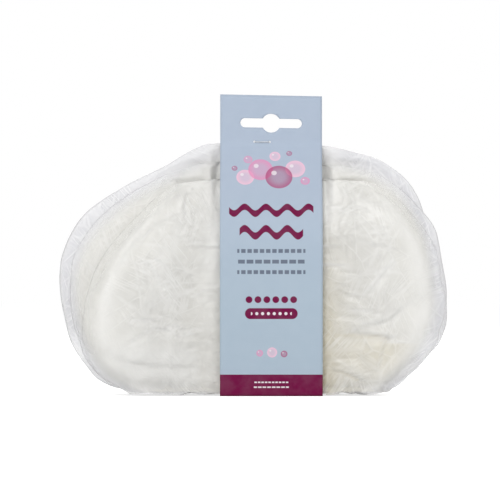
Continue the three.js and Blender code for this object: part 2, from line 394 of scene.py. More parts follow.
class PatternGroup:
    """A shader node group that reads coordinates and gives the values of one pattern."""

    def __init__(self, name: str, outputs: tuple[str, ...]) -> None:
        """Starts the group.

        Args:
            name: Name of the group.
            outputs: Names of the values that it gives.
        """
        self.tree = bpy.data.node_groups.new(name, "ShaderNodeTree")
        sockets = self.tree.interface
        sockets.new_socket("Vector", in_out="INPUT", socket_type="NodeSocketVector")
        for label in outputs:
            sockets.new_socket(label, in_out="OUTPUT", socket_type="NodeSocketFloat")
        self.sheet = NodeSheet(self.tree)
        self.vector = self.sheet.add("NodeGroupInput").outputs["Vector"]
        self.result = self.sheet.add("NodeGroupOutput")

    def give(self, values: dict[str, Socket]) -> None:
        """Links values to the group's outputs, by name."""
        for label, value in values.items():
            self.sheet.feed(self.result.inputs[label], value)

    def place(self, sheet: NodeSheet, vector: object) -> bpy.types.Node:
        """Places the group in a material.

        Args:
            sheet: The material's nodes.
            vector: Coordinates in metres that follow the piece.

        Returns:
            The group node.
        """
        node = sheet.add("ShaderNodeGroup", node_tree=self.tree)
        sheet.feed(node.inputs["Vector"], vector)
        return node


class CrinkleGroup(PatternGroup):
    """Fine crinkles of thin film: long bright streaks in several directions over small facets."""

    WARP_SCALE = 26.0
    WARP_REACH = (0.006, 0.006, 0.0)
    STREAKS = ((22.0, 1.0), (41.0, 1.0), (64.0, 0.8), (-18.0, 0.75), (-52.0, 0.7))
    STREAK_SCALE = (300.0, 15.0, 1.0)
    STREAK_WIDTH = 0.06
    PATCH_SCALE = (34.0, 34.0, 1.0)
    PATCH_TURN = 31.0
    PATCH_RANGE = (0.46, 0.70)
    NETS = ((30.0, (42.0, 20.0, 1.0)), (-40.0, (90.0, 46.0, 1.0)))
    NET_WIDTH = 0.05
    NET_STRENGTH = 0.55
    FACET_SCALE = 105.0
    CLOUD_SCALE = 38.0
    FINE_SCALE = 420.0
    FACET_HEIGHT = 0.55
    STREAK_HEIGHT = 0.4
    FINE_HEIGHT = 0.22

    def __init__(self) -> None:
        """Builds the group once."""
        super().__init__("film_crinkle", ("Height", "Streak", "Cloud"))
        sheet = self.sheet
        warp = sheet.add("ShaderNodeTexNoise", {"Vector": self.vector, "Scale": self.WARP_SCALE})
        shift = sheet.scaled(warp.outputs["Color"], self.WARP_REACH)
        bent = sheet.add("ShaderNodeVectorMath", {0: self.vector, 1: shift}, operation="ADD").outputs[0]
        streak: object = 0.0
        for number, (turn, strength) in enumerate(self.STREAKS):
            lines = sheet.noise(sheet.scaled(bent, self.STREAK_SCALE, turn), 1.0, 1.0)
            ridge = sheet.math("ABSOLUTE", sheet.math("SUBTRACT", lines, 0.5))
            line = sheet.ramp(ridge, 0.0, self.STREAK_WIDTH, strength, 0.0)
            turned = sheet.scaled(bent, self.PATCH_SCALE, self.PATCH_TURN * number)
            patch = sheet.ramp(sheet.noise(turned, 1.0, 1.0), *self.PATCH_RANGE)
            streak = sheet.math("MAXIMUM", streak, sheet.math("MULTIPLY", line, patch))
        for turn, scale in self.NETS:
            net = sheet.cells(sheet.scaled(bent, scale, turn), 1.0, "DISTANCE_TO_EDGE")
            line = sheet.ramp(net, 0.0, self.NET_WIDTH, self.NET_STRENGTH, 0.0)
            streak = sheet.math("MAXIMUM", streak, line)
        facets = sheet.cells(bent, self.FACET_SCALE, "F1")
        fine = sheet.noise(bent, self.FINE_SCALE)
        height = sheet.math("MULTIPLY", facets, self.FACET_HEIGHT)
        height = sheet.math("ADD", height, sheet.math("MULTIPLY", streak, self.STREAK_HEIGHT))
        height = sheet.math("ADD", height, sheet.math("MULTIPLY", fine, self.FINE_HEIGHT))
        cloud = sheet.noise(bent, self.CLOUD_SCALE, 3.0)
        self.give({"Height": height, "Streak": streak, "Cloud": cloud})


class PaperGroup(PatternGroup):
    """Mottle and short fibres of coated card."""

    MOTTLE_SCALE = 160.0
    FIBRE_SCALE = (900.0, 900.0, 2600.0)

    def __init__(self) -> None:
        """Builds the group once."""
        super().__init__("card_fibre", ("Mottle", "Fibre"))
        mottle = self.sheet.noise(self.vector, self.MOTTLE_SCALE, 3.0)
        fibre = self.sheet.noise(self.sheet.scaled(self.vector, self.FIBRE_SCALE), 1.0)
        self.give({"Mottle": mottle, "Fibre": fibre})


@dataclass(frozen=True)
class FilmFinish:
    """Thin milky film, clear where few layers lie, with painted scatter, painted shade, and whitening
    along its creases that is partly painted highlight.
    """

    name: str
    # Colours of few and of many layers, a painted scatter: darker and bluer where few layers lie,
    # lighter and creamier where many scatter light back
    thin: Colour = (0.77, 0.77, 0.81, 1.0)
    dense: Colour = (0.945, 0.935, 0.895, 1.0)
    # Colour of painted warm shade beside the card, in the hem and in fold valleys
    shade: Colour = (0.80, 0.69, 0.41, 1.0)
    # Colour of whitening along creases, partly real and partly painted highlight and painted light
    bright: Colour = (0.985, 0.985, 0.98, 1.0)
    # Shares of all layers in which the painted scatter turns from thin to dense and the streaks grow
    # faint
    tinted: Span = (0.04, 0.42)
    shade_share: float = 0.8
    bright_share: float = 0.85
    streaked: Span = (0.1, 0.6)
    streak_share: Span = (0.9, 0.58)
    # Cover of one layer, thin and dense, and what changes it
    clear_alpha: float = 0.48
    dense_alpha: float = 0.60
    covered: Span = (0.12, 0.70)
    crease_alpha: float = 0.18
    veil_share: float = 0.65
    # Cloudy pattern: the range that is used, and what it gives at both ends
    cloud: Span = (0.3, 0.7)
    cloud_cover: Span = (0.86, 1.08)
    roughness: Span = (0.26, 0.42)
    relief: float = 0.36
    relief_depth: float = 0.0010
    ior: float = 1.5

    def material(self, crinkle: CrinkleGroup) -> bpy.types.Material:
        """Builds the film's material.

        Args:
            crinkle: The crinkle group.

        Returns:
            The material.
        """
        material, sheet, shader = new_material(self.name)
        film = crinkle.place(sheet, sheet.uv_place("film_place"))
        stack, crease, gather, veil = (
            sheet.attribute(f"film_{label}") for label in ("stack", "crease", "gather", "veil")
        )
        plain = sheet.ramp(stack, *self.streaked, *self.streak_share)
        # Whitening along creases and streaks, partly real stress-whitening and partly painted highlight
        white = sheet.math("MAXIMUM", crease, sheet.math("MULTIPLY", film.outputs["Streak"], plain))
        # Painted scatter: the colour goes from thin to dense as more layers lie here
        colour = sheet.mix(sheet.ramp(stack, *self.tinted), self.thin, self.dense)
        # Painted shade, warm in tint
        colour = sheet.mix(sheet.math("MULTIPLY", gather, self.shade_share), colour, self.shade)
        colour = sheet.mix(sheet.math("MULTIPLY", white, self.bright_share), colour, self.bright)
        sheet.feed(shader.inputs["Base Color"], colour)
        cloud = film.outputs["Cloud"]
        cover = sheet.ramp(stack, *self.covered, self.clear_alpha, self.dense_alpha)
        cover = sheet.math("MULTIPLY", cover, sheet.ramp(cloud, *self.cloud, *self.cloud_cover))
        cover = sheet.math("ADD", cover, sheet.math("MULTIPLY", white, self.crease_alpha), clamp=True)
        unveiled = sheet.ramp(veil, 0.0, 1.0, 1.0, 1.0 - self.veil_share)
        sheet.feed(shader.inputs["Alpha"], sheet.math("MULTIPLY", cover, unveiled))
        sheet.feed(shader.inputs["Roughness"], sheet.ramp(cloud, *self.cloud, *self.roughness))
        sheet.bump(shader, film.outputs["Height"], self.relief, self.relief_depth)
        shader.inputs["IOR"].default_value = self.ior
        return material


@dataclass(frozen=True)
class ElasticFinish:
    """Matt off-white elastic band with fine ribs along its length."""

    base: Colour = (0.80, 0.77, 0.66, 1.0)
    groove: Colour = (0.60, 0.56, 0.45, 1.0)
    rib_scale: float = 330.0
    speckle_scale: float = 1500.0
    relief: float = 0.5
    relief_depth: float = 0.0002
    roughness: float = 0.8

    def material(self) -> bpy.types.Material:
        """Builds the elastic's material.

        Returns:
            The material.
        """
        material, sheet, shader = new_material("elastic_band")
        place = sheet.object_place()
        pattern = {"Vector": place, "Scale": self.rib_scale}
        ribs = sheet.add("ShaderNodeTexWave", pattern, bands_direction="Z").outputs["Fac"]
        share = sheet.math("MULTIPLY", ribs, sheet.noise(place, self.speckle_scale))
        sheet.feed(shader.inputs["Base Color"], sheet.mix(share, self.base, self.groove))
        sheet.bump(shader, ribs, self.relief, self.relief_depth)
        shader.inputs["Roughness"].default_value = self.roughness
        return material


@dataclass(frozen=True)
class SteelFinish:
    """Bright drawn wire."""

    base: Colour = (0.62, 0.63, 0.65, 1.0)
    light: Colour = (0.72, 0.73, 0.74, 1.0)
    grain: tuple[float, float, float] = (400.0, 6000.0, 6000.0)
    marks: Span = (0.3, 0.7)
    roughness: Span = (0.24, 0.42)

    def material(self) -> bpy.types.Material:
        """Builds the wire's material.

        Returns:
            The material.
        """
        material, sheet, shader = new_material("drawn_wire")
        drawn = sheet.noise(sheet.scaled(sheet.object_place(), self.grain), 1.0)
        sheet.feed(shader.inputs["Roughness"], sheet.ramp(drawn, *self.marks, *self.roughness))
        sheet.feed(shader.inputs["Base Color"], sheet.mix(drawn, self.base, self.light))
        shader.inputs["Metallic"].default_value = 1.0
        return material


@dataclass(frozen=True)
class Bubble:
    """One printed bubble: its centre on the card, its radius and its ink."""

    across: float
    height: float
    radius: float
    ink: Colour
    cover: float


@dataclass(frozen=True)
class MarkRow:
    """One printed row of small marks, centred on the card."""

    kind: Row
    height: float
    half_length: float
    pitch: float
    half_mark: float
    half_height: float


@dataclass(frozen=True)
class Wave:
    """One thick printed wave, centred on the card."""

    height: float
    half_length: float
    pitch: float = 11.0
    swing: float = 2.0
    half_line: float = 1.9


@dataclass(frozen=True)
class Pill:
    """One printed bar with round ends, centred on the card."""

    height: float = 42.6
    half_straight: float = 10.8
    radius: float = 2.8


@dataclass(frozen=True)
class CardPrint:
    """What is printed on the sleeve: bubbles, waves, rows of small marks and a band at the foot."""

    pale: Colour = (0.91, 0.56, 0.70, 1.0)
    pink: Colour = (0.78, 0.28, 0.50, 1.0)
    plum: Colour = (0.42, 0.03, 0.16, 1.0)
    maroon: Colour = (0.172, 0.006, 0.057, 1.0)
    grey: Colour = (0.16, 0.19, 0.25, 1.0)
    white: Colour = (0.86, 0.80, 0.84, 1.0)
    foot_height: float = 11.2
    waves: tuple[Wave, ...] = (Wave(96.0, 21.8), Wave(84.6, 16.4))
    beads: MarkRow = MarkRow(Row.DOTS, 49.8, 13.5, 4.6, 1.75, 1.75)
    pill: Pill = Pill()

    def bubbles(self) -> tuple[Bubble, ...]:
        """The bubbles, in the order in which they are printed."""
        return (
            Bubble(-13.5, 113.0, 4.6, self.pale, 0.85),
            Bubble(12.5, 117.5, 5.2, self.pale, 0.85),
            Bubble(-5.5, 117.0, 6.4, self.pink, 0.8),
            Bubble(4.0, 113.2, 7.0, self.plum, 0.75),
            Bubble(-12.0, 122.2, 2.3, self.pink, 0.7),
            Bubble(2.0, 124.0, 2.9, self.pale, 0.85),
            Bubble(17.6, 111.2, 2.4, self.pink, 0.8),
            Bubble(-19.0, 117.6, 1.5, self.plum, 0.7),
            Bubble(9.4, 125.6, 1.5, self.plum, 0.7),
            Bubble(-6.0, 22.2, 1.7, self.pink, 0.85),
            Bubble(0.4, 22.6, 2.6, self.pale, 0.85),
            Bubble(6.6, 21.8, 1.7, self.plum, 0.8),
        )

    def dark_rows(self) -> tuple[MarkRow, ...]:
        """Grey rows of dashes in the middle of the card."""
        return (
            MarkRow(Row.DASHES, 74.9, 17.6, 3.2, 1.15, 1.0),
            MarkRow(Row.DASHES, 69.4, 17.6, 4.4, 1.75, 1.0),
            MarkRow(Row.DASHES, 64.0, 17.6, 3.2, 1.15, 1.0),
        )

    def pale_rows(self) -> tuple[MarkRow, ...]:
        """Pale rows on the pill and on the band at the foot."""
        return (
            MarkRow(Row.DOTS, 42.6, 10.5, 3.0, 0.8, 0.8),
            MarkRow(Row.DASHES, 7.2, 9.0, 1.8, 0.65, 0.35),
            MarkRow(Row.DASHES, 4.7, 9.0, 2.4, 0.95, 0.35),
        )


@dataclass(frozen=True)
class PrintPlane:
    """The strip of card laid flat, with masks of the shapes that are printed on it."""

    sheet: NodeSheet
    across: Socket
    along: Socket
    down: Callable[[float], float]
    edge: float = 0.18
    # Bubbles: shares of the radius and of the ink
    shaded: float = 0.35
    middle_ink: float = 0.55
    glint_shift: float = 0.36
    glint_size: float = 0.2
    glint_cover: float = 0.75

    def below(self, height: float) -> Socket:
        """Gives the way down the strip from a height on its front."""
        return self.sheet.math("SUBTRACT", self.along, self.down(height))

    def within(self, value: object, half: float) -> Socket:
        """Mask of values within a half width of 0, with an edge as soft as print."""
        size = self.sheet.math("ABSOLUTE", value)
        return self.sheet.ramp(size, half - self.edge, half + self.edge, 1.0, 0.0)

    def row(self, row: MarkRow) -> Socket:
        """Gives the mask of one row of marks.

        Args:
            row: The row.

        Returns:
            The mask's socket.
        """
        sheet = self.sheet
        local = self.below(row.height)
        cell = sheet.math("FRACT", sheet.math("DIVIDE", self.across, row.pitch))
        cell = sheet.math("MULTIPLY", sheet.math("SUBTRACT", cell, 0.5), row.pitch)
        if row.kind is Row.DOTS:
            mark = self.within(sheet.distance(cell, local), row.half_mark)
        else:
            sides = self.within(cell, row.half_mark)
            mark = sheet.math("MULTIPLY", sides, self.within(local, row.half_height))
        return sheet.math("MULTIPLY", mark, self.within(self.across, row.half_length))

    def wave(self, wave: Wave) -> Socket:
        """Gives the mask of one wave.

        Args:
            wave: The wave.

        Returns:
            The mask's socket.
        """
        sheet = self.sheet
        swing = sheet.math("SINE", sheet.math("MULTIPLY", self.across, 2.0 * math.pi / wave.pitch))
        swing = sheet.math("MULTIPLY", swing, wave.swing)
        line = self.within(sheet.math("SUBTRACT", self.below(wave.height), swing), wave.half_line)
        return sheet.math("MULTIPLY", line, self.within(self.across, wave.half_length))

    def pill(self, pill: Pill) -> Socket:
        """Gives the mask of one bar with round ends.

        Args:
            pill: The bar.

        Returns:
            The mask's socket.
        """
        size = self.sheet.math("ABSOLUTE", self.across)
        past = self.sheet.math("MAXIMUM", self.sheet.math("SUBTRACT", size, pill.half_straight), 0.0)
        return self.within(self.sheet.distance(past, self.below(pill.height)), pill.radius)

    def foot(self, height: float) -> Socket:
        """Mask of a band round the foot of the sleeve, up to a height on both sides."""
        return self.within(self.below(0.0), self.down(0.0) - self.down(height))

    def bubble(self, colour: object, bubble: Bubble, white: Colour) -> Socket:
        """Prints one bubble with its glint.

        Args:
            colour: The colour under it.
            bubble: The bubble.
            white: Colour of the glint.

        Returns:
            The new colour's socket.
        """
        sheet, radius = self.sheet, bubble.radius
        across = sheet.math("SUBTRACT", self.across, bubble.across)
        along = self.below(bubble.height)
        away = sheet.distance(across, along)
        shade = sheet.ramp(away, self.shaded * radius, radius, self.middle_ink, 1.0)
        cover = sheet.math("MULTIPLY", self.within(away, radius), shade)
        colour = sheet.mix(sheet.math("MULTIPLY", cover, bubble.cover), colour, bubble.ink)
        shifted = [sheet.math("ADD", way, self.glint_shift * radius) for way in (across, along)]
        glint = self.within(sheet.distance(*shifted), self.glint_size * radius)
        return sheet.mix(sheet.math("MULTIPLY", glint, self.glint_cover), colour, white)


@dataclass(frozen=True)
class CardFinish:
    """Smooth coated card: a light-blue print over a white core."""

    blue: Colour = (0.436, 0.533, 0.627, 1.0)
    light_blue: Colour = (0.447, 0.522, 0.636, 1.0)
    blend: Span = (120.0, 40.0)
    core: Colour = (0.80, 0.80, 0.78, 1.0)
    core_fibre: Colour = (0.66, 0.68, 0.68, 1.0)
    core_roughness: float = 0.9
    speck: Colour = (0.78, 0.82, 0.86, 1.0)
    mottle: Span = (0.3, 0.7)
    speck_share: Span = (0.0, 0.03)
    roughness: Span = (0.5, 0.62)
    relief: float = 0.12
    relief_depth: float = 0.0002
    shine: float = 0.06
    design: CardPrint = field(default_factory=CardPrint)

    def core_material(self, paper: PaperGroup) -> bpy.types.Material:
        """Builds the material of the cut edges.

        Args:
            paper: The paper group.

        Returns:
            The material.
        """
        material, sheet, shader = new_material("card_core")
        fibre = paper.place(sheet, sheet.object_place()).outputs["Fibre"]
        sheet.feed(shader.inputs["Base Color"], sheet.mix(fibre, self.core, self.core_fibre))
        shader.inputs["Roughness"].default_value = self.core_roughness
        return material

    def printed(self, plane: PrintPlane) -> Socket:
        """Prints the design over the blue of the card.

        Args:
            plane: The strip of card laid flat.

        Returns:
            The colour's socket.
        """
        sheet, design = plane.sheet, self.design
        heights = [plane.down(height) for height in self.blend]
        colour = sheet.mix(sheet.ramp(plane.along, *heights), self.light_blue, self.blue)
        for bubble in design.bubbles():
            colour = plane.bubble(colour, bubble, design.white)
        for wave in design.waves:
            colour = sheet.mix(plane.wave(wave), colour, design.maroon)
        for row in design.dark_rows():
            colour = sheet.mix(plane.row(row), colour, design.grey)
        for mask in (plane.row(design.beads), plane.pill(design.pill), plane.foot(design.foot_height)):
            colour = sheet.mix(mask, colour, design.maroon)
        for row in design.pale_rows():
            colour = sheet.mix(plane.row(row), colour, design.white)
        return colour

    def print_material(self, paper: PaperGroup, down: Callable[[float], float]) -> bpy.types.Material:
        """Builds the material of the printed faces.

        Args:
            paper: The paper group.
            down: Gives the way down the strip, from its front top edge, of a height on its front.

        Returns:
            The material.
        """
        material, sheet, shader = new_material("printed_card")
        card = paper.place(sheet, sheet.object_place())
        place = sheet.add("ShaderNodeSeparateXYZ", {0: sheet.uv_place("print")})
        across, along = (sheet.math("MULTIPLY", place.outputs[axis], PRINT_UNIT) for axis in (0, 1))
        colour = self.printed(PrintPlane(sheet, across, along, down))
        mottle = card.outputs["Mottle"]
        specks = sheet.ramp(mottle, *self.mottle, *self.speck_share)
        sheet.feed(shader.inputs["Base Color"], sheet.mix(specks, colour, self.speck))
        sheet.feed(shader.inputs["Roughness"], sheet.ramp(mottle, *self.mottle, *self.roughness))
        sheet.bump(shader, card.outputs["Fibre"], self.relief, self.relief_depth)
        shader.inputs["Specular IOR Level"].default_value = self.shine
        return material


@dataclass
class CardSleeve:
    """The folded card: two panels that lean together into a header, and a base under the caps."""

    width: float = 53.0
    height: float = 156.0
    thickness: float = 0.5
    neck_height: float = 130.0
    shoulder_height: float = 88.0
    panel_offset: float = 27.45
    layer_offset: float = 0.45
    neck_setback: float = 2.5
    shoulder_setback: float = 14.0
    crease_setback: float = 1.5
    bow: float = 0.5
    bow_foot: Span = (0.0, 30.0)
    bow_top: Span = (128.0, 80.0)
    slot_length: float = 32.0
    slot_height: float = 4.8
    peg_hole: float = 9.8
    slot_centre: float = 141.5
    staple_centre: float = 131.7
    staple_crown: float = 8.0
    staple_shift: float = -4.7
    staple_hole: float = 0.55
    cutter_reach: float = 4.0
    header_skew: float = 0.02
    skew_rise: Span = (95.0, 150.0)
    wall_share: float = 1.2
    bend_points: int = 13
    line_step: float = 2.5
    columns: int = 36
    line: Array = field(init=False)
    drops: Array = field(init=False)

    def __post_init__(self) -> None:
        """Draws the sleeve's mid-line, from the front top edge down and round to the back one."""
        corners = [
            (-self.layer_offset, self.height, 0.0),
            (-self.layer_offset, self.neck_height, self.neck_setback),
            (-self.panel_offset, self.shoulder_height, self.shoulder_setback),
            (-self.panel_offset, self.thickness / 2, self.crease_setback),
        ]
        corners += [(-y, z, setback) for y, z, setback in reversed(corners)]
        places = [np.array(corner[:2]) for corner in corners]
        drawn = [places[0]]
        for i in range(1, len(corners) - 1):
            towards = [places[i + step] - places[i] for step in (-1, 1)]
            ends = [places[i] + way / np.linalg.norm(way) * corners[i][2] for way in towards]
            for share in np.linspace(0.0, 1.0, self.bend_points):
                rest = 1 - share
                bend = ends[0] * rest**2 + places[i] * 2 * share * rest + ends[1] * share**2
                drawn.append(bend)
        drawn.append(places[-1])
        fine = [drawn[0]]
        for before, after in zip(drawn, drawn[1:]):
            steps = max(1, math.ceil(np.linalg.norm(after - before) / self.line_step))
            fine += [before + (after - before) * (k + 1) / steps for k in range(steps)]
        self.line = np.array(fine)
        lengths = np.linalg.norm(np.diff(self.line, axis=0), axis=1)
        self.drops = np.concatenate([[0.0], np.cumsum(lengths)])

    def down(self, height: float) -> float:
        """Gives the way down the strip, from its front top edge, of a height on its front."""
        front = self.line[:, 0] < 0
        return float(np.interp(-height, -self.line[front, 1], self.drops[front]))

    def room(self, height: Array) -> Array:
        """Gives half of the clear depth inside the sleeve.

        Args:
            height: The heights to look at.

        Returns:
            The half depth at each height.
        """
        front = self.line[:, 0] < 0
        wall = self.thickness / 2 * self.wall_share
        return np.interp(height, self.line[front, 1][::-1], -self.line[front, 0][::-1]) - wall

    def _cutters(self) -> list[Piece]:
        """Makes the closed shapes that cut the hang slot and the staple's holes.

        Returns:
            The shapes' objects.
        """
        half = self.slot_length / 2 - self.slot_height / 2
        turn = np.linspace(-math.pi / 2, math.pi / 2, 25)
        end = np.stack([np.cos(turn), np.sin(turn)], axis=1) * self.slot_height / 2
        slot = np.vstack([end + (half, 0.0), -end - (half, 0.0)])
        circle = np.linspace(0.0, 2 * math.pi, 48, endpoint=False)
        round_hole = np.stack([np.cos(circle), np.sin(circle)], axis=1)
        pinhole = round_hole * self.staple_hole
        outlines = [
            slot + (0.0, self.slot_centre),
            round_hole * self.peg_hole / 2 + (0.0, self.slot_centre),
            pinhole + (self.staple_shift + self.staple_crown / 2, self.staple_centre),
            pinhole + (self.staple_shift - self.staple_crown / 2, self.staple_centre),
        ]
        ends = (-self.cutter_reach, self.cutter_reach)
        cutters = []
        for number, outline in enumerate(outlines):
            count = len(outline)
            points = np.array([(x, y, z) for y in ends for x, z in outline])
            sides = [(i, count + i, count + (i + 1) % count, (i + 1) % count) for i in range(count)]
            faces = [*sides, tuple(range(count)), tuple(range(count, 2 * count))[::-1]]
            cutter = grid_mesh(f"cutter_{number}", points, faces)
            for polygon in cutter.data.polygons:
                polygon.material_index = 1
            cutters.append(cutter)
        return cutters

    def _faces(self, rows: int) -> tuple[list[tuple[int, ...]], list[tuple[int, ...]]]:
        """Lists the faces of the closed strip.

        Args:
            rows: How many rows of points each layer has.

        Returns:
            The printed faces of both layers, and the cut edges between them.
        """
        broad, cut = [], []
        back = rows * self.columns
        for j in range(rows - 1):
            for i in range(self.columns - 1):
                a = j * self.columns + i
                b, c, d = a + 1, a + self.columns + 1, a + self.columns
                broad.append((a, b, c, d))
                broad.append((back + d, back + c, back + b, back + a))
            for i in (0, self.columns - 1):
                a, d = j * self.columns + i, (j + 1) * self.columns + i
                cut.append((a, d, back + d, back + a) if i == 0 else (d, a, back + a, back + d))
        for j in (0, rows - 1):
            for i in range(self.columns - 1):
                a, b = j * self.columns + i, j * self.columns + i + 1
                cut.append((b, a, back + a, back + b) if j == 0 else (a, b, back + b, back + a))
        return broad, cut

    def build(self) -> Piece:
        """Builds the card as one closed strip, before its slot and holes are cut.

        Returns:
            The card's object.
        """
        ways = np.gradient(self.line, axis=0)
        ways /= np.linalg.norm(ways, axis=1, keepdims=True)
        normals = np.stack([ways[:, 1], -ways[:, 0]], axis=1)
        across = np.linspace(-self.width / 2, self.width / 2, self.columns)
        swell = np.cos(math.pi * across / self.width)
        up = self.line[:, 1]
        lift = smoothstep(*self.bow_foot, up) * smoothstep(*self.bow_top, up) * self.bow
        layers = []
        for side in (1.0, -1.0):
            offset = side * self.thickness / 2 - lift[:, None] * swell[None, :]
            y = self.line[:, :1] + normals[:, :1] * offset
            z = self.line[:, 1:] + normals[:, 1:] * offset
            layers.append(np.stack([np.broadcast_to(across, y.shape), y, z], axis=-1))
        points = np.concatenate([layer.reshape(-1, 3) for layer in layers])
        rows = len(self.line)
        broad, cut = self._faces(rows)
        card = grid_mesh("folded_card", points, broad + cut)
        for polygon in card.data.polygons[len(broad) :]:
            polygon.material_index = 1
            polygon.use_smooth = False
        strip = np.stack([np.tile(across, rows), np.repeat(self.drops, self.columns)], axis=1)
        write_uv(card.data, "print", np.tile(strip, (len(layers), 1)) / PRINT_UNIT)
        work = bmesh.new()
        work.from_mesh(card.data)
        bmesh.ops.recalc_face_normals(work, faces=work.faces)
        work.to_mesh(card.data)
        work.free()
        return card

    def dress(self, card: Piece, finish: CardFinish, paper: PaperGroup) -> None:
        """Gives the card its materials, cuts it and puts it in the frame.

        Args:
            card: The card's object.
            finish: Its finish.
            paper: The paper group.
        """
        card.data.materials.append(finish.print_material(paper, self.down))
        card.data.materials.append(finish.core_material(paper))
        cutters = self._cutters()
        for cutter in cutters:
            for material in card.data.materials:
                cutter.data.materials.append(material)
            modifier = card.modifiers.new(cutter.name, "BOOLEAN")
            modifier.object = cutter
            modifier.operation = "DIFFERENCE"
            modifier.solver = "EXACT"
        settled = evaluated_mesh(card)
        card.modifiers.clear()
        card.data = settled
        for cutter in cutters:
            bpy.data.objects.remove(cutter)
        places = np.empty(3 * len(card.data.vertices), np.float32)
        card.data.vertices.foreach_get("co", places)
        grid = places.reshape(-1, 3)
        grid[:, 2] -= self.header_skew * grid[:, 0] * smoothstep(*self.skew_rise, grid[:, 2] / MM)
        card.data.vertices.foreach_set("co", places)
        card.data.update()
        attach(card, "sleeve")
        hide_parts("card_sleeve")


@dataclass(frozen=True)
class CrumpleField:
    """A faceted relief like crushed film: bent triangle waves of many lengths, summed.

    Attributes:
        seed: Fixed seed of the waves.
        longest: Length of the longest wave.
        shortest: Length of the shortest wave.
        waves: How many waves there are.
        bend: How far the waves are bent sideways.
        bends: How many bends there are.
        bend_lengths: Lengths of the shortest and the longest bend.
    """

    seed: int
    longest: float = 64.0
    shortest: float = 13.0
    waves: int = 10
    bend: float = 8.0
    bends: int = 6
    bend_lengths: Span = (40, 90)

    def height(self, across: Array, up: Array) -> Array:
        """Gives the relief's height, from about -1 to 1.

        Args:
            across: X of the points.
            up: Z of the points.

        Returns:
            The height at each point.
        """
        rng = np.random.default_rng(self.seed)
        shift_x, shift_z = np.zeros_like(across), np.zeros_like(across)
        for _ in range(self.bends):
            turn = rng.uniform(0, 2 * math.pi)
            length = rng.uniform(*self.bend_lengths)
            phase = rng.uniform(0, 1)
            way = (across * math.cos(turn) + up * math.sin(turn)) / length + phase
            swing = np.sin(2 * math.pi * way)
            shift_x = shift_x + self.bend * rng.uniform(-1, 1) * swing
            shift_z = shift_z + self.bend * rng.uniform(-1, 1) * swing
        total, weight = np.zeros_like(across), 0.0
        for k in range(self.waves):
            length = self.longest * (self.shortest / self.longest) ** (k / (self.waves - 1))
            turn = rng.uniform(0, math.pi)
            phase = rng.uniform(0, 1)
            bent = (across + shift_x) * math.cos(turn) + (up + shift_z) * math.sin(turn)
            way = bent / length + phase
            total = total + length * (2 * np.abs(2 * (way - np.floor(way + 0.5))) - 1)
            weight += length * length
        return total / math.sqrt(weight)


@dataclass(frozen=True)
class FilmSolver:
    """Lets film that is longer than the space it lies in buckle into creases.

    Attributes:
        steps: How many passes are made.
        shear: Stiffness of the film against slanting.
        bending: How much each pass rounds the creases.
        least: Length added to every link, so that none is 0.
    """

    steps: int = 140
    quick_steps: int = 30
    shear: float = 0.4
    bending: float = 0.2
    least: float = 1e-9

    def lengths(self, smooth: Array, around: Array, along: Array) -> list[Array]:
        """Gives the film's own lengths between neighbouring points.

        Args:
            smooth: Points of the smooth shape, by row and column.
            around: Fullness of each point around the cap.
            along: Fullness of each point from crown to hem.

        Returns:
            Lengths around, along, and on both diagonals.
        """
        middle = 0.5 * (around + along)
        return [
            np.linalg.norm(np.roll(smooth, -1, axis=1) - smooth, axis=-1) * around,
            np.linalg.norm(smooth[1:] - smooth[:-1], axis=-1) * along[1:],
            np.linalg.norm(smooth[1:, 1:] - smooth[:-1, :-1], axis=-1) * middle[1:, 1:],
            np.linalg.norm(smooth[1:, :-1] - smooth[:-1, 1:], axis=-1) * middle[1:, 1:],
        ]

    def _links(self, points: Array, spans: list[Array]) -> list[tuple]:
        """Lists the links between points, in sets that share no point.

        Args:
            points: Points by row and column.
            spans: The film's own lengths.

        Returns:
            Both ends, length and stiffness of each set.
        """
        around, along, slant, counter = spans
        links = [
            (points[:, 0::2], points[:, 1::2], around[:, 0::2], 1.0),
            (points[:, 1:-1:2], points[:, 2::2], around[:, 1:-1:2], 1.0),
            (points[:, -1:], points[:, :1], around[:, -1:], 1.0),
        ]
        rows = len(points)
        for first in (0, 1):
            last = first + (rows - first) // 2 * 2
            upper, lower = points[first:last:2], points[first + 1 : last : 2]
            pick = slice(first, last - 1, 2)
            links.append((upper, lower, along[pick], 1.0))
            links.append((upper[:, :-1], lower[:, 1:], slant[pick], self.shear))
            links.append((upper[:, 1:], lower[:, :-1], counter[pick], self.shear))
        return links

    def relax(
        self, points: Array, spans: list[Array], hold: Callable[[Array], None]
    ) -> None:
        """Moves the points until the film has its own lengths in the room that it has.

        Args:
            points: Points by row and column, which are changed.
            spans: The film's own lengths.
            hold: Keeps the points in their room, after each pass.
        """
        links = self._links(points, spans)
        for _ in range(self.steps):
            for start, end, length, stiffness in links:
                way = end - start
                now = np.sqrt((way * way).sum(axis=-1, keepdims=True)) + self.least
                move = way * (0.5 * stiffness * (1.0 - length[..., None] / now))
                start += move
                end -= move
            points[1:-1] += self.bending * towards_mean(points)
            hold(points)


@dataclass(frozen=True)
class CapOutline:
    """The outline of one flattened cap seen from the front, from its crown down to its hem.

    Attributes:
        crown: The middle of the crown.
        left: Corners of the left side, from crown to hem.
        right: Corners of the right side, from crown to hem.
        easing: Below 1 for shorter steps towards the hem.
        closed_rows: How many points each side of the closed outline has.
    """

    crown: tuple[float, float]
    left: Points
    right: Points
    easing: float = 0.85
    closed_rows: int = 40

    def sides(self, rows: int) -> list[Array]:
        """Gives the right and the left side from crown to hem, with so many points each."""
        sides = (self.right, self.left)
        return [smooth_line((self.crown, *side), rows, self.easing) for side in sides]

    def closed(self) -> Array:
        """Gives the whole outline as one closed line."""
        right, left = self.sides(self.closed_rows)
        return np.vstack([right, left[:0:-1]])


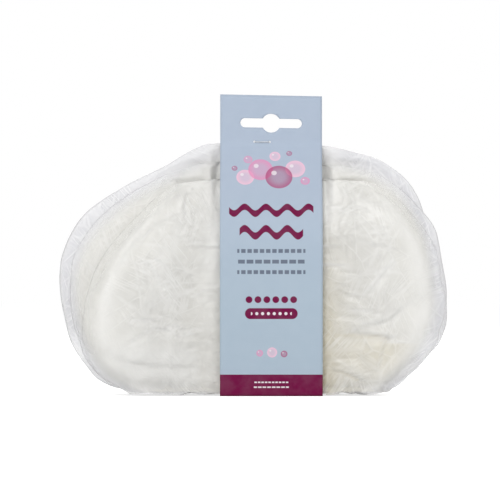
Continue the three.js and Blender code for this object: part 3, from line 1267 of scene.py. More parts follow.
@dataclass(frozen=True)
class Fold:
    """One large fold in a face of film: a ridge along a line, with a valley on its lower side, painted
    shade in the valley and a painted highlight along the line.

    Attributes:
        path: Points that the line passes through, from left to right.
        height: How far the ridge stands out and the valley lies in.
        reach: How far both spread from the line.
        valley_shade: Painted shade in the valley, from 0 to 1.
        gleam: Painted highlight along the line, from 0 to 1.
    """

    LINE_POINTS = 24
    FAR_OFF = 1e6
    SHARPNESS = 0.12
    VALLEY_SHIFT = 0.15
    VALLEY_SPREAD = 0.06
    GLEAM_WIDTH = 0.45

    path: Points
    height: float
    reach: float
    valley_shade: float = 0.0
    gleam: float = 0.0

    def place(self, across: Array, up: Array) -> Array:
        """Gives how far points lie above the line, as a share of the fold's reach.

        Args:
            across: X of the points.
            up: Z of the points.

        Returns:
            The share at each point, below 0 under the line.
        """
        line = smooth_line(self.path, self.LINE_POINTS)
        nearest = np.full(across.shape, self.FAR_OFF)
        side = np.zeros(across.shape)
        for start, end in zip(line, line[1:]):
            way = end - start
            x, z, gap_x, gap_z = off_segment(across, up, start, way)
            away = np.hypot(gap_x, gap_z)
            closer = away < nearest
            nearest = np.where(closer, away, nearest)
            side = np.where(closer, np.sign(way[0] * z - way[1] * x), side)
        return side * nearest / self.reach

    def lift(self, across: Array, up: Array) -> Array:
        """Gives how far the fold stands out at each point, below 0 in its valley."""
        place = self.place(across, up)
        return self.height * place / (np.abs(place) + self.SHARPNESS) * np.exp(-place * place)

    def shadow(self, across: Array, up: Array) -> Array:
        """Gives the painted shade in the fold's valley, from 0 to 1."""
        place = self.place(across, up)
        return self.valley_shade * np.exp(-((place + self.VALLEY_SHIFT) ** 2) / self.VALLEY_SPREAD)

    def shine(self, across: Array, up: Array) -> Array:
        """Gives the painted highlight along the fold, from 0 to 1."""
        return self.gleam * bell(self.place(across, up), 0.0, self.GLEAM_WIDTH)


@dataclass(frozen=True)
class Spread:
    """How the bundle opens out beside the card, in ways from the middle of the pack."""

    # Where the outer faces start to swell, and the ways to their full swell
    start: float = 28.0
    rise_left: float = 42.0
    rise_right: float = 28.0
    # Where the layers fan out, and where faces get more room
    fan: Span = (27.5, 62.0)
    puff: Span = (28.0, 46.0)
    bulge: Span = (27.8, 44.0)
    bulge_up: Span = (0.0, 4.0)
    # Where the card's squeeze is let go, first a share of it and then the rest
    near: Span = (27.8, 32.4)
    far: Span = (28.0, 60.0)
    near_share: float = 0.35
    card_gap: float = 0.35
    least_room: float = 0.1


@dataclass(frozen=True)
class Crush:
    """How a cap's film is crushed before and while it buckles."""

    relief: float = 1.5
    # Small folds that run out from the card
    pinch: float = 0.35
    pinch_length: float = 13.0
    pinch_slope: float = 0.12
    pinch_bend: float = 1.4
    pinch_edge: float = 26.0
    pinch_fade: float = 30.0
    # Frill of the hem
    frill: float = 0.6
    frill_length: float = 8.5
    frill_bend: float = 2.2
    # Shares of the half width: where fullness ends, and where the edge is held
    slack: Span = (0.8, 0.97)
    rim: Span = (0.965, 1.0)
    # Waves of the edge, and how strongly each pass draws the film to its smooth shape
    wobble: Span = (30.0, 6.0)
    wobble_across: float = 0.7
    wobble_up: float = 0.6
    pull: float = 0.012
    rim_pull: float = 0.6
    # Least heights over the card's base and beside it
    floor: Span = (1.0, 0.4)
    # Shares of the half width in which the film is smoothed after it has buckled
    calm: Span = (0.72, 0.9)
    calm_end: Span = (0.985, 0.93)
    calm_passes: int = 6


@dataclass(frozen=True)
class FilmTints:
    """Where a cap's film is denser or clearer, where it is whitened or carries painted highlight and
    painted light, and where it carries painted shade.
    """

    # Depths inside outlines: what counts as a layer, and where a thin veil lies on others
    stack: Span = (-3.0, 15.0)
    veil_edge: Span = (13.0, 0.0)
    veil_behind: Span = (0.0, 9.0)
    veil_side: Span = (30.0, 58.0)
    # Whitening along creases and edges, partly real stress-whitening and partly painted highlight, and
    # painted highlight along rolled edges
    bend: Span = (0.05, 0.34)
    bend_white: float = 0.6
    edge: Span = (0.955, 1.0)
    edge_white: float = 0.5
    roll: Span = (0.88, 0.06)
    roll_white: float = 0.4
    # Painted light that brightens the left side, low and high
    foot: Span = (38.0, 18.0)
    top: Span = (96.0, 112.0)
    painted_fill_side: Span = (-26.0, -40.0)
    painted_fill_white: float = 0.5
    # Painted light on the film beside the card, where it lies in shade
    covered: Span = (4.0, 26.0)
    card_side_fill_reach: Span = (44.0, 29.0)
    card_side_fill_top: Span = (78.0, 96.0)
    card_side_fill_white: float = 0.6
    # Painted warm shade beside the card, darker lower down, and along the hem
    card_shade_edge: float = 26.5
    card_shade_fade: float = 9.0
    card_shade_low: Span = (95.0, 20.0)
    card_shade_least: float = 0.15
    card_shade_left: float = 0.35
    card_shade_share: float = 0.95
    hem: Span = (0.96, 1.0)
    hem_shade_share: float = 0.12


@dataclass(frozen=True)
class ElasticBand:
    """The flat elastic in a cap's hem."""

    TREE_NAME = "band_along_path"

    width: float = 2.8
    thickness: float = 0.5
    points: int = 220
    # Blunt ends, flat sides and ripples of the loop
    end_power: float = 0.8
    side_power: float = 0.3
    depth_share: float = 0.45
    ripple: float = 0.25
    ripples: float = 31.0

    def _path(self, name: str, hem: Array, seed: int) -> Piece:
        """Draws the closed path of the band.

        Args:
            name: Name of the cap.
            hem: X of the points of the hem.
            seed: The cap's seed, which shifts the ripples.

        Returns:
            The path's object.
        """
        low, high = (np.array(corner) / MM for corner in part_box(f"{name}_elastic"))
        half_y = (high - low)[1] / 2 - self.thickness / 2
        centre = (low + high) / 2
        centre[0] = (hem.min() + hem.max()) / 2
        half_x = (hem.max() - hem.min()) / 2 - self.width
        turn = np.linspace(0.0, 2 * math.pi, self.points, endpoint=False)
        cos, sin = np.cos(turn), np.sin(turn)
        x = centre[0] + half_x * np.sign(cos) * np.abs(cos) ** self.end_power
        y = centre[1] + self.depth_share * half_y * np.sign(sin) * np.abs(sin) ** self.side_power
        z = centre[2] + self.ripple * np.sin(turn * self.ripples + seed)
        curve = bpy.data.curves.new(f"{name}_elastic_path", "CURVE")
        curve.dimensions = "3D"
        spline = curve.splines.new("POLY")
        spline.points.add(self.points - 1)
        path = np.stack([x * MM, y * MM, z * MM, np.ones_like(x)], axis=1)
        spline.points.foreach_set("co", path.astype(np.float32).ravel())
        spline.use_cyclic_u = True
        return add_object(curve.name, curve)

    def _tree(self, material: bpy.types.Material) -> bpy.types.NodeTree:
        """Builds the node tree that sweeps a flat band along a path, once.

        Args:
            material: The band's material.

        Returns:
            The tree.
        """
        known = bpy.data.node_groups.get(self.TREE_NAME)
        if known:
            return known
        tree = bpy.data.node_groups.new(self.TREE_NAME, "GeometryNodeTree")
        sockets = (
            ("Geometry", "INPUT", "NodeSocketGeometry"),
            ("Width", "INPUT", "NodeSocketFloat"),
            ("Thickness", "INPUT", "NodeSocketFloat"),
            ("Geometry", "OUTPUT", "NodeSocketGeometry"),
        )
        for label, side, kind in sockets:
            tree.interface.new_socket(label, in_out=side, socket_type=kind)
        nodes, links = tree.nodes, tree.links
        source = nodes.new("NodeGroupInput")
        section = nodes.new("GeometryNodeCurvePrimitiveQuadrilateral")
        sweep = nodes.new("GeometryNodeCurveToMesh")
        realize = nodes.new("GeometryNodeRealizeInstances")
        paint = nodes.new("GeometryNodeSetMaterial")
        result = nodes.new("NodeGroupOutput")
        paint.inputs["Material"].default_value = material
        links.new(source.outputs["Thickness"], section.inputs["Width"])
        links.new(source.outputs["Width"], section.inputs["Height"])
        links.new(source.outputs["Geometry"], sweep.inputs["Curve"])
        links.new(section.outputs["Curve"], sweep.inputs["Profile Curve"])
        links.new(sweep.outputs["Mesh"], realize.inputs["Geometry"])
        links.new(realize.outputs["Geometry"], paint.inputs["Geometry"])
        links.new(paint.outputs["Geometry"], result.inputs["Geometry"])
        return tree

    def build(
        self, name: str, hem: Array, seed: int, material: bpy.types.Material
    ) -> Piece:
        """Builds the band along its path.

        Args:
            name: Name of the cap.
            hem: X of the points of the hem.
            seed: The cap's seed.
            material: The band's material.

        Returns:
            The band's object.
        """
        path = self._path(name, hem, seed)
        modifier = path.modifiers.new("band", "NODES")
        modifier.node_group = self._tree(material)
        sizes = {"Width": self.width * MM, "Thickness": self.thickness * MM}
        for item in modifier.node_group.interface.items_tree:
            if item.item_type == "SOCKET" and item.name in sizes:
                modifier[item.identifier] = sizes[item.name]
        mesh = evaluated_mesh(path)
        mesh.name = f"{name}_elastic_band"
        bpy.data.objects.remove(path)
        return add_object(mesh.name, mesh)


@dataclass
class FilmCap:
    """One gathered film cap: a crumpled bag of film, and the elastic in its hem."""

    COUNT = 6
    RUFFLES = ((0.4, 4.1, 1.0), (0.3, 1.8, 2.3))
    BELOW_HEM = -60.0
    COARSE_STEP = 3
    BACK_SEED = 50
    RIM_SEED = 90
    MAP_SIDE = 300.0
    MAP_FACE = 600.0
    MAP_CAP = 200.0
    SAME_POINT = 1e-6

    number: int
    outline: CapOutline
    seed: int
    fullness: tuple[float, float]
    folds: tuple[Fold, ...] = ()
    free_height: float = 200.0
    overhang: float = 7.0
    overhang_share: float = 0.8
    puff: float = 5.0
    puff_share: float = 0.75
    roll: float = 1.8
    roll_place: Span = (0.87, 0.07)
    rounding: float = 26.0
    pitch: float = 9.0
    half_depth: float = 4.15
    depth_share: float = 0.62
    fan: float = 4.0
    edge_gap: float = 0.15
    rows: int = 132
    face_columns: int = 180
    even_share: float = 0.75
    ruffle: float = 0.5
    ruffle_reach: Span = (0.93, 1.0)
    hem_fullness: float = 1.12
    hem_reach: float = 0.1
    flat_diameter: float = 280.0
    spread: Spread = Spread()
    crush: Crush = Crush()
    tints: FilmTints = FilmTints()
    elastic: ElasticBand = ElasticBand()
    smooth: Array = field(init=False)
    face: Array = field(init=False)
    across: Array = field(init=False)

    @property
    def name(self) -> str:
        """Name of the cap's body in the frame."""
        return f"cap_{self.number}"

    @property
    def middle(self) -> float:
        """Y of the middle of the cap's own layer in the sleeve."""
        return (self.number - (self.COUNT + 1) / 2) * self.pitch

    @property
    def outermost(self) -> float:
        """Y of the middle of the last layer in the sleeve."""
        return (self.COUNT - 1) / 2 * self.pitch

    @property
    def outer_face(self) -> float:
        """Sign of the face that lies open to the outside, or 0 for a cap between others."""
        return {1: -1.0, self.COUNT: 1.0}.get(self.number, 0.0)

    @property
    def folded_face(self) -> float:
        """Sign of the face that has the large folds."""
        return self.outer_face or -1.0

    @property
    def down(self) -> Array:
        """Share of the way from crown to hem of each row."""
        return np.linspace(0.0, 1.0, self.rows)[:, None]

    def bulge(self, x: Array, z: Array) -> Array:
        """How far the outward face may swell over the lower caps on its outer side."""
        rise = smoothstep(*self.spread.bulge_up, z - self.free_height)
        return self.overhang * rise * smoothstep(*self.spread.bulge, np.abs(x))

    def layer(self, x: Array) -> Array:
        """Y of the middle of the cap's layer, which fans out beside the sleeve."""
        opened = smoothstep(*self.spread.fan, np.abs(x))
        return self.middle * (1.0 + self.fan / self.outermost * opened)

    def squeeze(self, points: Array, sleeve: CardSleeve) -> Array:
        """Gives the share of its full depth that the card leaves to the bundle.

        Args:
            points: Points by row and column.
            sleeve: The sleeve that the cap lies in.

        Returns:
            The share at each point, 1 where the bundle is free.
        """
        spread, out = self.spread, np.abs(points[..., 0])
        near, far = smoothstep(*spread.near, out), smoothstep(*spread.far, out)
        free = spread.near_share * near + (1.0 - spread.near_share) * far
        room = np.maximum(sleeve.room(points[..., 2]) - spread.card_gap, spread.least_room)
        full = self.outermost + self.half_depth
        return np.minimum(room / full * (1.0 - free) + free, 1.0)

    def depths(self, points: Array, sleeve: CardSleeve) -> tuple[Array, Array]:
        """Gives the room of both faces along Y at each point.

        Args:
            points: Points by row and column.
            sleeve: The sleeve that the cap lies in.

        Returns:
            The lowest and the highest Y of each point.
        """
        x = points[..., 0]
        layer = self.layer(x)
        if self.outer_face:
            swell = (self.puff + self.roll) * smoothstep(*self.spread.puff, np.abs(x))
        else:
            swell = self.bulge(x, points[..., 2])
        low = layer - self.half_depth - (swell if self.middle < 0 else 0.0)
        high = layer + self.half_depth + (swell if self.middle > 0 else 0.0)
        front = self.face < 0
        share = self.squeeze(points, sleeve)
        inner_low = np.where(front, low, layer + self.edge_gap)
        inner_high = np.where(front, layer - self.edge_gap, high)
        return share * inner_low, share * inner_high

    def keep_in(self, points: Array, sleeve: CardSleeve) -> None:
        """Moves points along Y until they lie in the room that the sleeve leaves to their face."""
        low, high = self.depths(points, sleeve)
        np.clip(points[..., 1], low, high, out=points[..., 1])

    def lay_out(self, sleeve: CardSleeve) -> None:
        """Draws the smooth shape of the cap, row by row from its crown to its hem.

        Args:
            sleeve: The sleeve that the cap lies in.
        """
        right, left = self.outline.sides(self.rows)
        share = np.linspace(0.0, 1.0, self.face_columns, endpoint=False)
        rounded = 0.5 - 0.5 * np.cos(math.pi * share)
        eased = self.even_share * share + (1.0 - self.even_share) * rounded
        towards = np.concatenate([eased, 1.0 - eased])[None, :]
        in_front = np.arange(2 * self.face_columns) < self.face_columns
        self.face = np.where(in_front, -1.0, 1.0)[None, :]
        self.across = 2.0 * towards - 1.0
        x = right[:, :1] * (1 - towards) + left[:, :1] * towards
        z = right[:, 1:] * (1 - towards) + left[:, 1:] * towards
        ruffle = self.ruffle
        for height, length, phase in self.RUFFLES:
            ruffle = ruffle + height * np.sin(x / length + phase * self.seed)
        z = z + ruffle * smoothstep(*self.ruffle_reach, self.down)

        step = self.COARSE_STEP
        below = np.array([(side[-1, 0], self.BELOW_HEM) for side in (right, left)])
        bag = np.vstack([right[::step], right[-1:], below, left[:0:-step]])
        margin = np.clip(depth_inside(x, z, bag) / self.rounding, 0.0, 1.0)
        pillow = np.sqrt(1.0 - (1.0 - margin) ** 2)
        deep = self.half_depth * self.depth_share * pillow
        rise = np.where(x < 0.0, self.spread.rise_left, self.spread.rise_right)
        beside = smoothstep(0.0, 1.0, (np.abs(x) - self.spread.start) / rise)
        rolled = self.roll * bell(np.abs(self.across), *self.roll_place)
        swell = beside * (self.puff * self.puff_share * pillow + rolled)
        swell = swell * (self.face == self.outer_face)
        outward = self.face == np.sign(self.middle)
        swell = swell + self.overhang_share * self.bulge(x, z) * pillow * outward
        for fold in self.folds:
            swell = swell + fold.lift(x, z) * pillow * beside * (self.face == self.folded_face)
        y = self.layer(x) + self.face * (deep + swell)
        self.smooth = np.stack([x, y, z], axis=-1)
        self.smooth[..., 1] *= self.squeeze(self.smooth, sleeve)
        self.keep_in(self.smooth, sleeve)
        self.smooth[0, :, 1] = self.smooth[0, :, 1].mean()

    def crumpled(self, sleeve: CardSleeve) -> Array:
        """Lets the cap's film buckle in its layer.

        Args:
            sleeve: The sleeve that the cap lies in.

        Returns:
            The film's points, by row and column.
        """
        crush, out = self.crush, np.abs(self.across)
        x, z = self.smooth[..., 0], self.smooth[..., 2]
        hem = smoothstep(1.0 - self.hem_reach, 1.0, self.down)
        relief = np.where(
            self.face < 0,
            CrumpleField(self.seed).height(x, z),
            CrumpleField(self.seed + self.BACK_SEED).height(x, z),
        )
        pinch_turn = 2 * math.pi * (z + crush.pinch_slope * np.abs(x)) / crush.pinch_length
        pinches = np.sin(pinch_turn + crush.pinch_bend * relief)
        pinches = pinches * fade(np.abs(x), crush.pinch_edge, crush.pinch_fade)
        frill_turn = 2 * math.pi * x / crush.frill_length
        frill = np.sin(frill_turn + crush.frill_bend * relief + self.seed) * hem
        pillow = np.sqrt(np.clip(1 - self.across**6, 0, 1))
        points = self.smooth.copy()
        points[..., 1] += pillow * (crush.relief * relief + crush.pinch * pinches + crush.frill * frill)

        slack = 1.0 - smoothstep(*crush.slack, out)
        fullness = 1.0 + (np.where(self.face < 0, *self.fullness) - 1.0) * slack
        along = np.broadcast_to(fullness, x.shape)
        around = along + (self.hem_fullness - along) * hem * slack
        rim = smoothstep(*crush.rim, out)[..., None] * np.ones_like(self.smooth)
        rim[0] = 1.0
        wobble = CrumpleField(self.seed + self.RIM_SEED, *crush.wobble).height(x, z)
        kept = self.smooth.copy()
        kept[..., 0] += crush.wobble_across * wobble * self.across
        kept[..., 2] += crush.wobble_up * wobble

        def hold(now: Array) -> None:
            """Keeps the film's edge on the outline, and its faces in their layer and off the floor.

            Args:
                now: Points by row and column, which are changed.
            """
            now += (crush.pull + crush.rim_pull * rim) * (kept - now)
            self.keep_in(now, sleeve)
            floor = np.where(np.abs(now[..., 0]) < self.spread.start, *crush.floor)
            np.maximum(now[..., 2], floor, out=now[..., 2])
            now[0] = self.smooth[0]

        solver = FilmSolver()
        solver.relax(points, solver.lengths(self.smooth, around, along), hold)
        calm = smoothstep(*crush.calm, out)[..., None]
        inside = calm * smoothstep(*crush.calm_end, out)[..., None]
        for _ in range(crush.calm_passes):
            points[1:-1] += 0.5 * inside * (0.5 * side_sum(points) - points[1:-1])
            points[1:-1] += 0.5 * calm * (0.5 * (points[2:] + points[:-2]) - points[1:-1])
        self.keep_in(points, sleeve)
        return points

    def marks(self, points: Array, outlines: list[Array]) -> dict[str, Array]:
        """Tells where the film is denser or clearer, where it is whitened or carries painted highlight
        and painted light, and where it carries painted shade.

        Args:
            points: The film's points, by row and column.
            outlines: The closed outlines of all caps.

        Returns:
            Values from 0 to 1 at each point, by name.
        """
        tints, out = self.tints, np.abs(self.across)
        x, z = points[..., 0], points[..., 2]
        aside = np.abs(x)
        depth = [depth_inside(x, z, outline) for outline in outlines]
        stack = sum(smoothstep(*tints.stack, each) for each in depth) / len(depth)
        behind = np.max([each for i, each in enumerate(depth, 1) if i != self.number], axis=0)
        veil = smoothstep(*tints.veil_edge, depth[self.number - 1])
        veil = veil * smoothstep(*tints.veil_behind, behind) * smoothstep(*tints.veil_side, aside)

        bent = np.zeros(points.shape[:2])
        bent[1:-1] = np.linalg.norm(towards_mean(points), axis=-1)
        covered = smoothstep(*tints.covered, aside)
        # Painted light on the left side, low and high
        painted_fill = smoothstep(*tints.foot, z) + smoothstep(*tints.top, z)
        # Painted light beside the card, against the shade there
        card_side_fill = np.maximum(smoothstep(*tints.card_side_fill_top, z), x < 0.0) * covered
        # Whitening: partly real along bends, painted highlight on edges and rolled edges, and painted
        # light
        whites = (
            tints.bend_white * smoothstep(*tints.bend, bent),
            tints.edge_white * smoothstep(*tints.edge, out) * (1.0 - veil),
            tints.roll_white * bell(out, *tints.roll) * abs(self.outer_face),
            tints.painted_fill_white * painted_fill * smoothstep(*tints.painted_fill_side, x),
            tints.card_side_fill_white * card_side_fill * smoothstep(*tints.card_side_fill_reach, aside),
        )
        crease = np.zeros(points.shape[:2])
        for white in whites:
            crease = np.maximum(crease, white)

        # Painted warm shade beside the card, darker lower down and fading towards the middle, and along
        # the hem
        darker = smoothstep(*tints.card_shade_low, z)
        beside = tints.card_shade_least + (1.0 - tints.card_shade_least) * darker
        beside = beside * fade(aside, tints.card_shade_edge, tints.card_shade_fade) * covered
        beside = beside * np.where(x < 0.0, tints.card_shade_left, 1.0)
        hem = tints.hem_shade_share * smoothstep(*tints.hem, self.down)
        gather = np.maximum(hem, tints.card_shade_share * beside)
        seen = self.face == self.folded_face
        # Painted shade in fold valleys and painted highlight along folds
        for fold in self.folds:
            gather = np.maximum(gather, fold.shadow(x, z) * seen)
            crease = np.maximum(crease, fold.shine(x, z) * seen)
        return {"stack": stack, "crease": crease, "gather": gather, "veil": veil}

    def film_map(self) -> Array:
        """Lays the film's sides, faces and caps apart on one flat map.

        Returns:
            The place of each point, in metres.
        """
        x, z = self.smooth[..., 0], self.smooth[..., 2]
        outwards = np.abs(x) + self.MAP_SIDE * (x < 0) + self.MAP_FACE * (self.face > 0)
        upwards = z + self.MAP_CAP * self.number
        return np.stack([outwards * MM, upwards * MM], axis=-1).reshape(-1, 2)

    def build(self, sleeve: CardSleeve, outlines: list[Array]) -> Piece:
        """Builds the cap's film.

        Args:
            sleeve: The sleeve that the cap lies in.
            outlines: The closed outlines of all caps, which tell how many layers lie at a point.

        Returns:
            The film's object.
        """
        self.lay_out(sleeve)
        points = self.crumpled(sleeve)
        columns = 2 * self.face_columns
        faces = []
        for j in range(self.rows - 1):
            for i in range(columns):
                a, b = j * columns + i, j * columns + (i + 1) % columns
                faces.append((a, b, b + columns, a + columns))
        film = grid_mesh(f"{self.name}_crumpled_film", points.reshape(-1, 3), faces)
        for label, values in self.marks(points, outlines).items():
            attribute = film.data.attributes.new(f"film_{label}", "FLOAT", "POINT")
            attribute.data.foreach_set("value", values.astype(np.float32).ravel())
        write_uv(film.data, "film_place", self.film_map())
        work = bmesh.new()
        work.from_mesh(film.data)
        bmesh.ops.remove_doubles(work, verts=work.verts[:columns], dist=self.SAME_POINT)
        work.to_mesh(film.data)
        work.free()
        return film

    def build_elastic(self, material: bpy.types.Material) -> Piece:
        """Builds the elastic as a band that follows the hem."""
        return self.elastic.build(self.name, self.smooth[-1, :, 0], self.seed, material)

    def dress(
        self, film: Piece, band: Piece, material: bpy.types.Material
    ) -> None:
        """Gives the film its material, and puts film and elastic in the frame.

        Args:
            film: The film's object.
            band: The elastic's object.
            material: The film's material.
        """
        film.data.materials.append(material)
        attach(film, self.name)
        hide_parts(f"{self.name}_film")
        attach(band, self.name)
        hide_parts(f"{self.name}_elastic")


@dataclass(frozen=True)
class Lamp:
    """A square soft lamp that faces the pack."""

    name: str
    place: tuple[float, float, float]
    size: float
    power: float
    aim: tuple[float, float, float] = (0.0, 0.0, 0.07)

    def build(self) -> None:
        """Adds the lamp to the scene."""
        light = bpy.data.lights.new(self.name, "AREA")
        light.size = self.size
        light.energy = self.power
        lamp = add_object(self.name, light)
        lamp.location = self.place
        way = Vector(self.aim) - Vector(self.place)
        lamp.rotation_euler = way.to_track_quat("-Z", "Y").to_euler()


@dataclass
class Studio:
    """White floor, soft light from all round, and a camera straight in front of the pack."""

    view_width: float = 258.5
    view_centre: tuple[float, float] = (-11.0, 75.4)
    distance: float = 2400.0
    focus_depth: float = -20.0
    sensor: float = 36.0
    white: Colour = (1.0, 1.0, 1.0, 1.0)
    floor_half: float = 4000.0
    floor_colour: Colour = (0.8, 0.8, 0.8, 1.0)
    floor_roughness: float = 0.9
    floor_glow: float = 0.66
    room_light: float = 0.41
    lamps: tuple[Lamp, ...] = (
        Lamp("key", (-0.9, -1.5, 1.1), 1.0, 18.0),
        Lamp("fill", (1.2, -1.3, 0.8), 1.2, 7.8),
        Lamp("rim", (0.3, 1.3, 1.1), 1.0, 14.0),
    )

    def build(self) -> None:
        """Builds the floor, the light and the camera."""
        self._floor()
        self._world()
        for lamp in self.lamps:
            lamp.build()
        self._camera()

    def _floor(self) -> None:
        """Makes a wide white floor that keeps the pack's shadow."""
        signs = ((-1.0, -1.0), (1.0, -1.0), (1.0, 1.0), (-1.0, 1.0))
        corners = np.array([(x * self.floor_half, y * self.floor_half, 0.0) for x, y in signs])
        floor = grid_mesh("studio_floor", corners, [(0, 1, 2, 3)])
        material, sheet, shader = new_material("studio_white")
        shader.inputs["Base Color"].default_value = self.floor_colour
        shader.inputs["Roughness"].default_value = self.floor_roughness
        shader.inputs["Specular IOR Level"].default_value = 0.0
        shader.inputs["Emission Color"].default_value = self.white
        glow = sheet.math("MULTIPLY", sheet.seen(), self.floor_glow)
        sheet.feed(shader.inputs["Emission Strength"], glow)
        floor.data.materials.append(material)

    def _world(self) -> None:
        """Lights the scene softly from all round, and shows white behind the pack."""
        world = bpy.data.worlds.new("studio_light")
        world.use_nodes = True
        bpy.context.scene.world = world
        sheet = NodeSheet(world.node_tree)
        background = sheet.nodes["Background"]
        background.inputs["Color"].default_value = self.white
        strength = sheet.ramp(sheet.seen(), 0.0, 1.0, self.room_light, 1.0)
        sheet.feed(background.inputs["Strength"], strength)

    def _camera(self) -> None:
        """Puts the camera straight in front, far off, with a long lens."""
        data = bpy.data.cameras.new("front_camera")
        data.sensor_width = self.sensor
        data.lens = self.sensor * self.distance / self.view_width
        camera = add_object("front_camera", data)
        x, z = self.view_centre
        camera.location = Vector((x, self.focus_depth - self.distance, z)) * MM
        camera.rotation_euler = (math.pi / 2, 0.0, 0.0)
        bpy.context.scene.camera = camera


LEFT_REAR: Points = (
    (-14.0, 130.9), (-27.8, 131.6), (-34.0, 130.4), (-42.9, 126.7), (-56.4, 118.4),
    (-73.4, 110.1), (-87.4, 101.8), (-97.7, 93.6), (-104.5, 83.5), (-109.0, 72.0), (-110.3, 60.0),
    (-109.1, 48.1), (-105.5, 31.5), (-101.8, 23.3), (-95.1, 15.0), (-86.9, 6.7), (-74.0, 1.0),
)


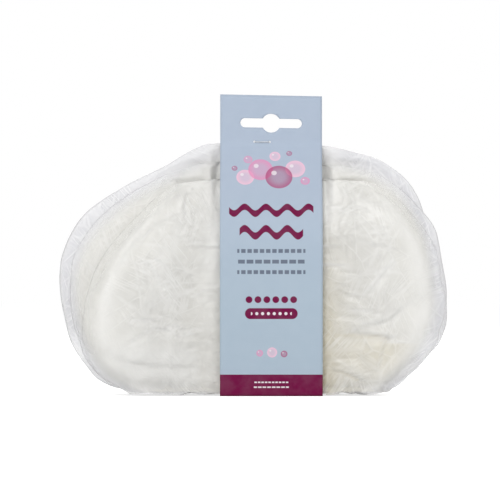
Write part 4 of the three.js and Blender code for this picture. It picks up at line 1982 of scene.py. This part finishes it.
def cap_set() -> list[FilmCap]:
    """Gives the six caps, from the front one to the back one.

    Returns:
        The caps.
    """
    front = CapOutline(
        (0.0, 112.6),
        ((-20.0, 112.3), (-33.0, 111.5), (-46.0, 110.0), (-58.0, 104.0), (-70.0, 92.0), (-84.0, 77.0),
         (-92.5, 61.0), (-97.0, 45.0), (-97.0, 28.0), (-89.0, 11.0), (-73.0, 1.2)),
        ((20.0, 112.3), (33.0, 111.9), (46.0, 110.8), (58.0, 107.5),
         (68.0, 99.5), (79.0, 86.0), (85.5, 74.0), (88.0, 60.0), (90.0, 46.0), (86.0, 29.0),
         (77.0, 16.0), (60.0, 1.4)),
    )
    second = CapOutline(
        (0.0, 121.8),
        ((-20.0, 121.6), (-34.0, 120.8), (-60.0, 112.0), (-85.0, 96.0), (-100.0, 77.0),
         (-105.0, 56.0), (-101.0, 31.0), (-89.0, 10.0), (-74.0, 1.2)),
        ((20.0, 121.0), (34.0, 119.5), (52.0, 116.0), (66.0, 108.0), (77.0, 97.0),
         (85.5, 85.5), (88.2, 70.0), (91.4, 46.0), (87.5, 29.0), (79.0, 17.5), (61.0, 1.6)),
    )
    third = CapOutline(
        (0.0, 130.8),
        LEFT_REAR,
        ((14.0, 130.3), (27.8, 129.2), (40.0, 126.9), (55.3, 122.5), (63.0, 118.0), (70.5, 112.0),
         (76.0, 103.5), (80.0, 94.0), (81.0, 75.0), (77.0, 50.0), (69.0, 25.0), (56.0, 1.6)),
    )
    fourth = CapOutline(
        (0.0, 129.4),
        ((-14.0, 129.2), (-28.0, 128.4), (-55.0, 117.0), (-80.0, 101.0), (-97.0, 84.0),
         (-104.0, 62.0), (-101.0, 34.0), (-88.0, 10.0), (-73.0, 1.2)),
        ((14.0, 129.0), (28.0, 128.0), (55.0, 120.0), (72.0, 105.0), (81.0, 86.0),
         (85.0, 62.0), (81.0, 34.0), (68.0, 13.0), (55.0, 1.4)),
    )
    fifth = CapOutline(
        (0.0, 118.8),
        ((-20.0, 118.5), (-28.4, 118.0), (-58.0, 110.0), (-84.0, 94.0), (-101.0, 72.0),
         (-106.0, 52.0), (-100.0, 27.0), (-87.0, 8.0), (-75.0, 1.4)),
        ((20.0, 118.0), (28.4, 117.0), (58.0, 109.0), (75.0, 94.0), (84.0, 74.0),
         (86.0, 50.0), (80.0, 26.0), (66.0, 9.0), (53.0, 1.6)),
    )
    back = CapOutline(
        (0.0, 108.4),
        ((-20.0, 108.0), (-29.0, 107.3), (-56.0, 100.0), (-75.0, 85.0), (-88.0, 67.0),
         (-93.0, 47.0), (-89.0, 25.0), (-79.0, 9.0), (-69.0, 1.4)),
        ((20.0, 107.9), (29.0, 107.0), (52.0, 100.0), (67.0, 86.0), (77.0, 68.0),
         (81.0, 47.0), (77.0, 25.0), (66.0, 9.0), (55.0, 1.6)),
    )
    front_folds = (
        Fold(((-88.0, 23.5), (-70.0, 17.5), (-48.0, 15.5), (-26.0, 14.5)), 1.0, 6.0, 0.0, 0.3),
        Fold(((45.0, 34.5), (57.5, 39.5), (70.0, 47.0), (82.0, 55.0)), 1.1, 6.0, 0.0, 0.4),
        Fold(((28.0, 31.5), (44.0, 31.8), (58.0, 31.0)), 1.3, 5.0, 0.55),
        Fold(((56.0, 19.0), (57.5, 25.0), (59.0, 30.5)), 1.0, 4.0, 0.35),
        Fold(((28.0, 14.5), (36.0, 13.0), (44.0, 9.5)), 1.4, 4.5, 0.6),
        Fold(((-62.0, 96.0), (-46.0, 104.0), (-30.0, 107.0)), 1.4, 5.0),
        Fold(((-80.0, 66.0), (-66.0, 84.0), (-46.0, 94.0), (-28.0, 96.0)), 0.7, 6.0, 0.0, 0.3),
        Fold(((28.0, 106.0), (44.0, 102.0), (60.0, 97.5)), 1.0, 4.0, 0.0, 0.35),
        Fold(((47.0, 52.0), (54.0, 60.5), (62.5, 70.0)), 0.4, 2.2, 0.0, 0.7),
        Fold(((51.0, 54.0), (57.5, 62.0), (64.0, 68.5)), 0.4, 2.0, 0.0, 0.5),
        Fold(((28.0, 29.0), (54.0, 28.0)), 0.0, 45.0, 0.45),
        Fold(((28.0, 83.5), (42.0, 81.0), (60.0, 76.5)), 0.5, 4.0, 0.0, 0.3),
        Fold(((-89.0, 24.0), (-94.0, 45.0), (-90.5, 60.0)), 0.5, 4.0, 0.0, 0.45),
        Fold(((-66.5, 80.5), (-62.0, 86.0)), 0.5, 1.8, 0.0, 0.6),
        Fold(((-59.0, 70.5), (-53.0, 65.5), (-47.5, 59.5)), 0.5, 1.8, 0.0, 0.55),
        Fold(((-62.0, 67.0), (-56.5, 58.5), (-50.5, 52.0)), 0.5, 1.8, 0.0, 0.45),
        Fold(((-72.0, 28.5), (-60.0, 35.5)), 0.5, 1.8, 0.0, 0.5),
        Fold(((-52.0, 67.0), (-39.0, 60.5), (-28.0, 53.0)), 0.5, 2.0, 0.0, 0.4),
    )
    second_folds = (
        Fold(((-86.0, 86.0), (-78.0, 97.0), (-71.0, 107.0)), 0.5, 1.8, 0.0, 0.6),
        Fold(((-91.0, 81.0), (-84.5, 90.0), (-79.0, 99.0)), 0.5, 1.8, 0.0, 0.5),
        Fold(((-96.0, 62.0), (-92.0, 74.0), (-87.0, 82.0)), 0.5, 1.8, 0.0, 0.45),
        Fold(((-70.0, 101.0), (-62.0, 105.5), (-50.0, 109.0)), 0.6, 2.4, 0.0, 0.4),
        Fold(((62.0, 103.0), (70.0, 94.0), (77.0, 84.0)), 0.6, 2.4, 0.0, 0.45),
    )
    third_folds = (
        Fold(((-57.0, 109.0), (-54.0, 114.5), (-51.0, 119.5)), 0.5, 1.8, 0.0, 0.6),
        Fold(((-66.0, 105.0), (-62.0, 110.0), (-58.5, 114.5)), 0.5, 1.8, 0.0, 0.45),
        Fold(((-106.0, 52.0), (-103.5, 66.0), (-98.0, 78.0)), 0.5, 2.0, 0.0, 0.45),
        Fold(((34.0, 117.0), (46.0, 115.0), (56.0, 117.5)), 0.5, 2.0, 0.0, 0.4),
        Fold(((58.0, 112.5), (65.0, 107.5), (71.0, 100.0)), 0.5, 2.0, 0.0, 0.5),
    )
    back_folds = (
        Fold(((-84.0, 30.0), (-62.0, 22.0), (-28.0, 18.0)), 2.2, 7.0),
        Fold(((28.0, 24.0), (50.0, 30.0), (74.0, 44.0)), 2.0, 7.0),
        Fold(((-70.0, 72.0), (-50.0, 88.0), (-28.0, 92.0)), 1.4, 6.0),
        Fold(((28.0, 92.0), (48.0, 86.0), (66.0, 72.0)), 1.4, 6.0),
    )
    return [
        FilmCap(1, front, 11, (1.07, 1.38), front_folds),
        FilmCap(2, second, 18, (1.09, 1.15), second_folds, 110.5),
        FilmCap(3, third, 25, (1.06, 1.14), third_folds, 119.8),
        FilmCap(4, fourth, 32, (1.15, 1.11), (), 116.8),
        FilmCap(5, fifth, 39, (1.19, 1.15), (), 106.4),
        FilmCap(6, back, 46, (1.62, 1.10), back_folds),
    ]


def main() -> None:
    """Builds the pack's pieces in order and reports each of them."""
    logging.basicConfig(level=logging.INFO, format="%(message)s")
    scene = bpy.context.scene
    for leftover in list(scene.objects):
        bpy.data.objects.remove(leftover)
    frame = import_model()
    scene.view_settings.view_transform = "Standard"
    Studio().build()

    sleeve = CardSleeve()
    paper = PaperGroup()
    card = sleeve.build()
    sleeve.dress(card, CardFinish(), paper)
    LOG.info("%s: %d faces", card.name, len(card.data.polygons))

    staple = frame["nodes"]["staple"]
    staple.data.materials.clear()
    staple.data.materials.append(SteelFinish().material())
    LOG.info("%s: shape of its solid kept", staple.name)

    crinkle = CrinkleGroup()
    outer = FilmFinish("outer_film").material(crinkle)
    inner = FilmFinish("inner_film", clear_alpha=0.47, dense_alpha=0.56).material(crinkle)
    elastic = ElasticFinish().material()
    caps = cap_set()
    outlines = [cap.outline.closed() for cap in caps]
    for cap in caps:
        film = cap.build(sleeve, outlines)
        band = cap.build_elastic(elastic)
        cap.dress(film, band, outer if cap.outer_face else inner)
        area = sum(polygon.area for polygon in film.data.polygons)
        LOG.info("%s: %d faces, %.4f square metres", film.name, len(film.data.polygons), area)


if __name__ == "__main__":
    main()
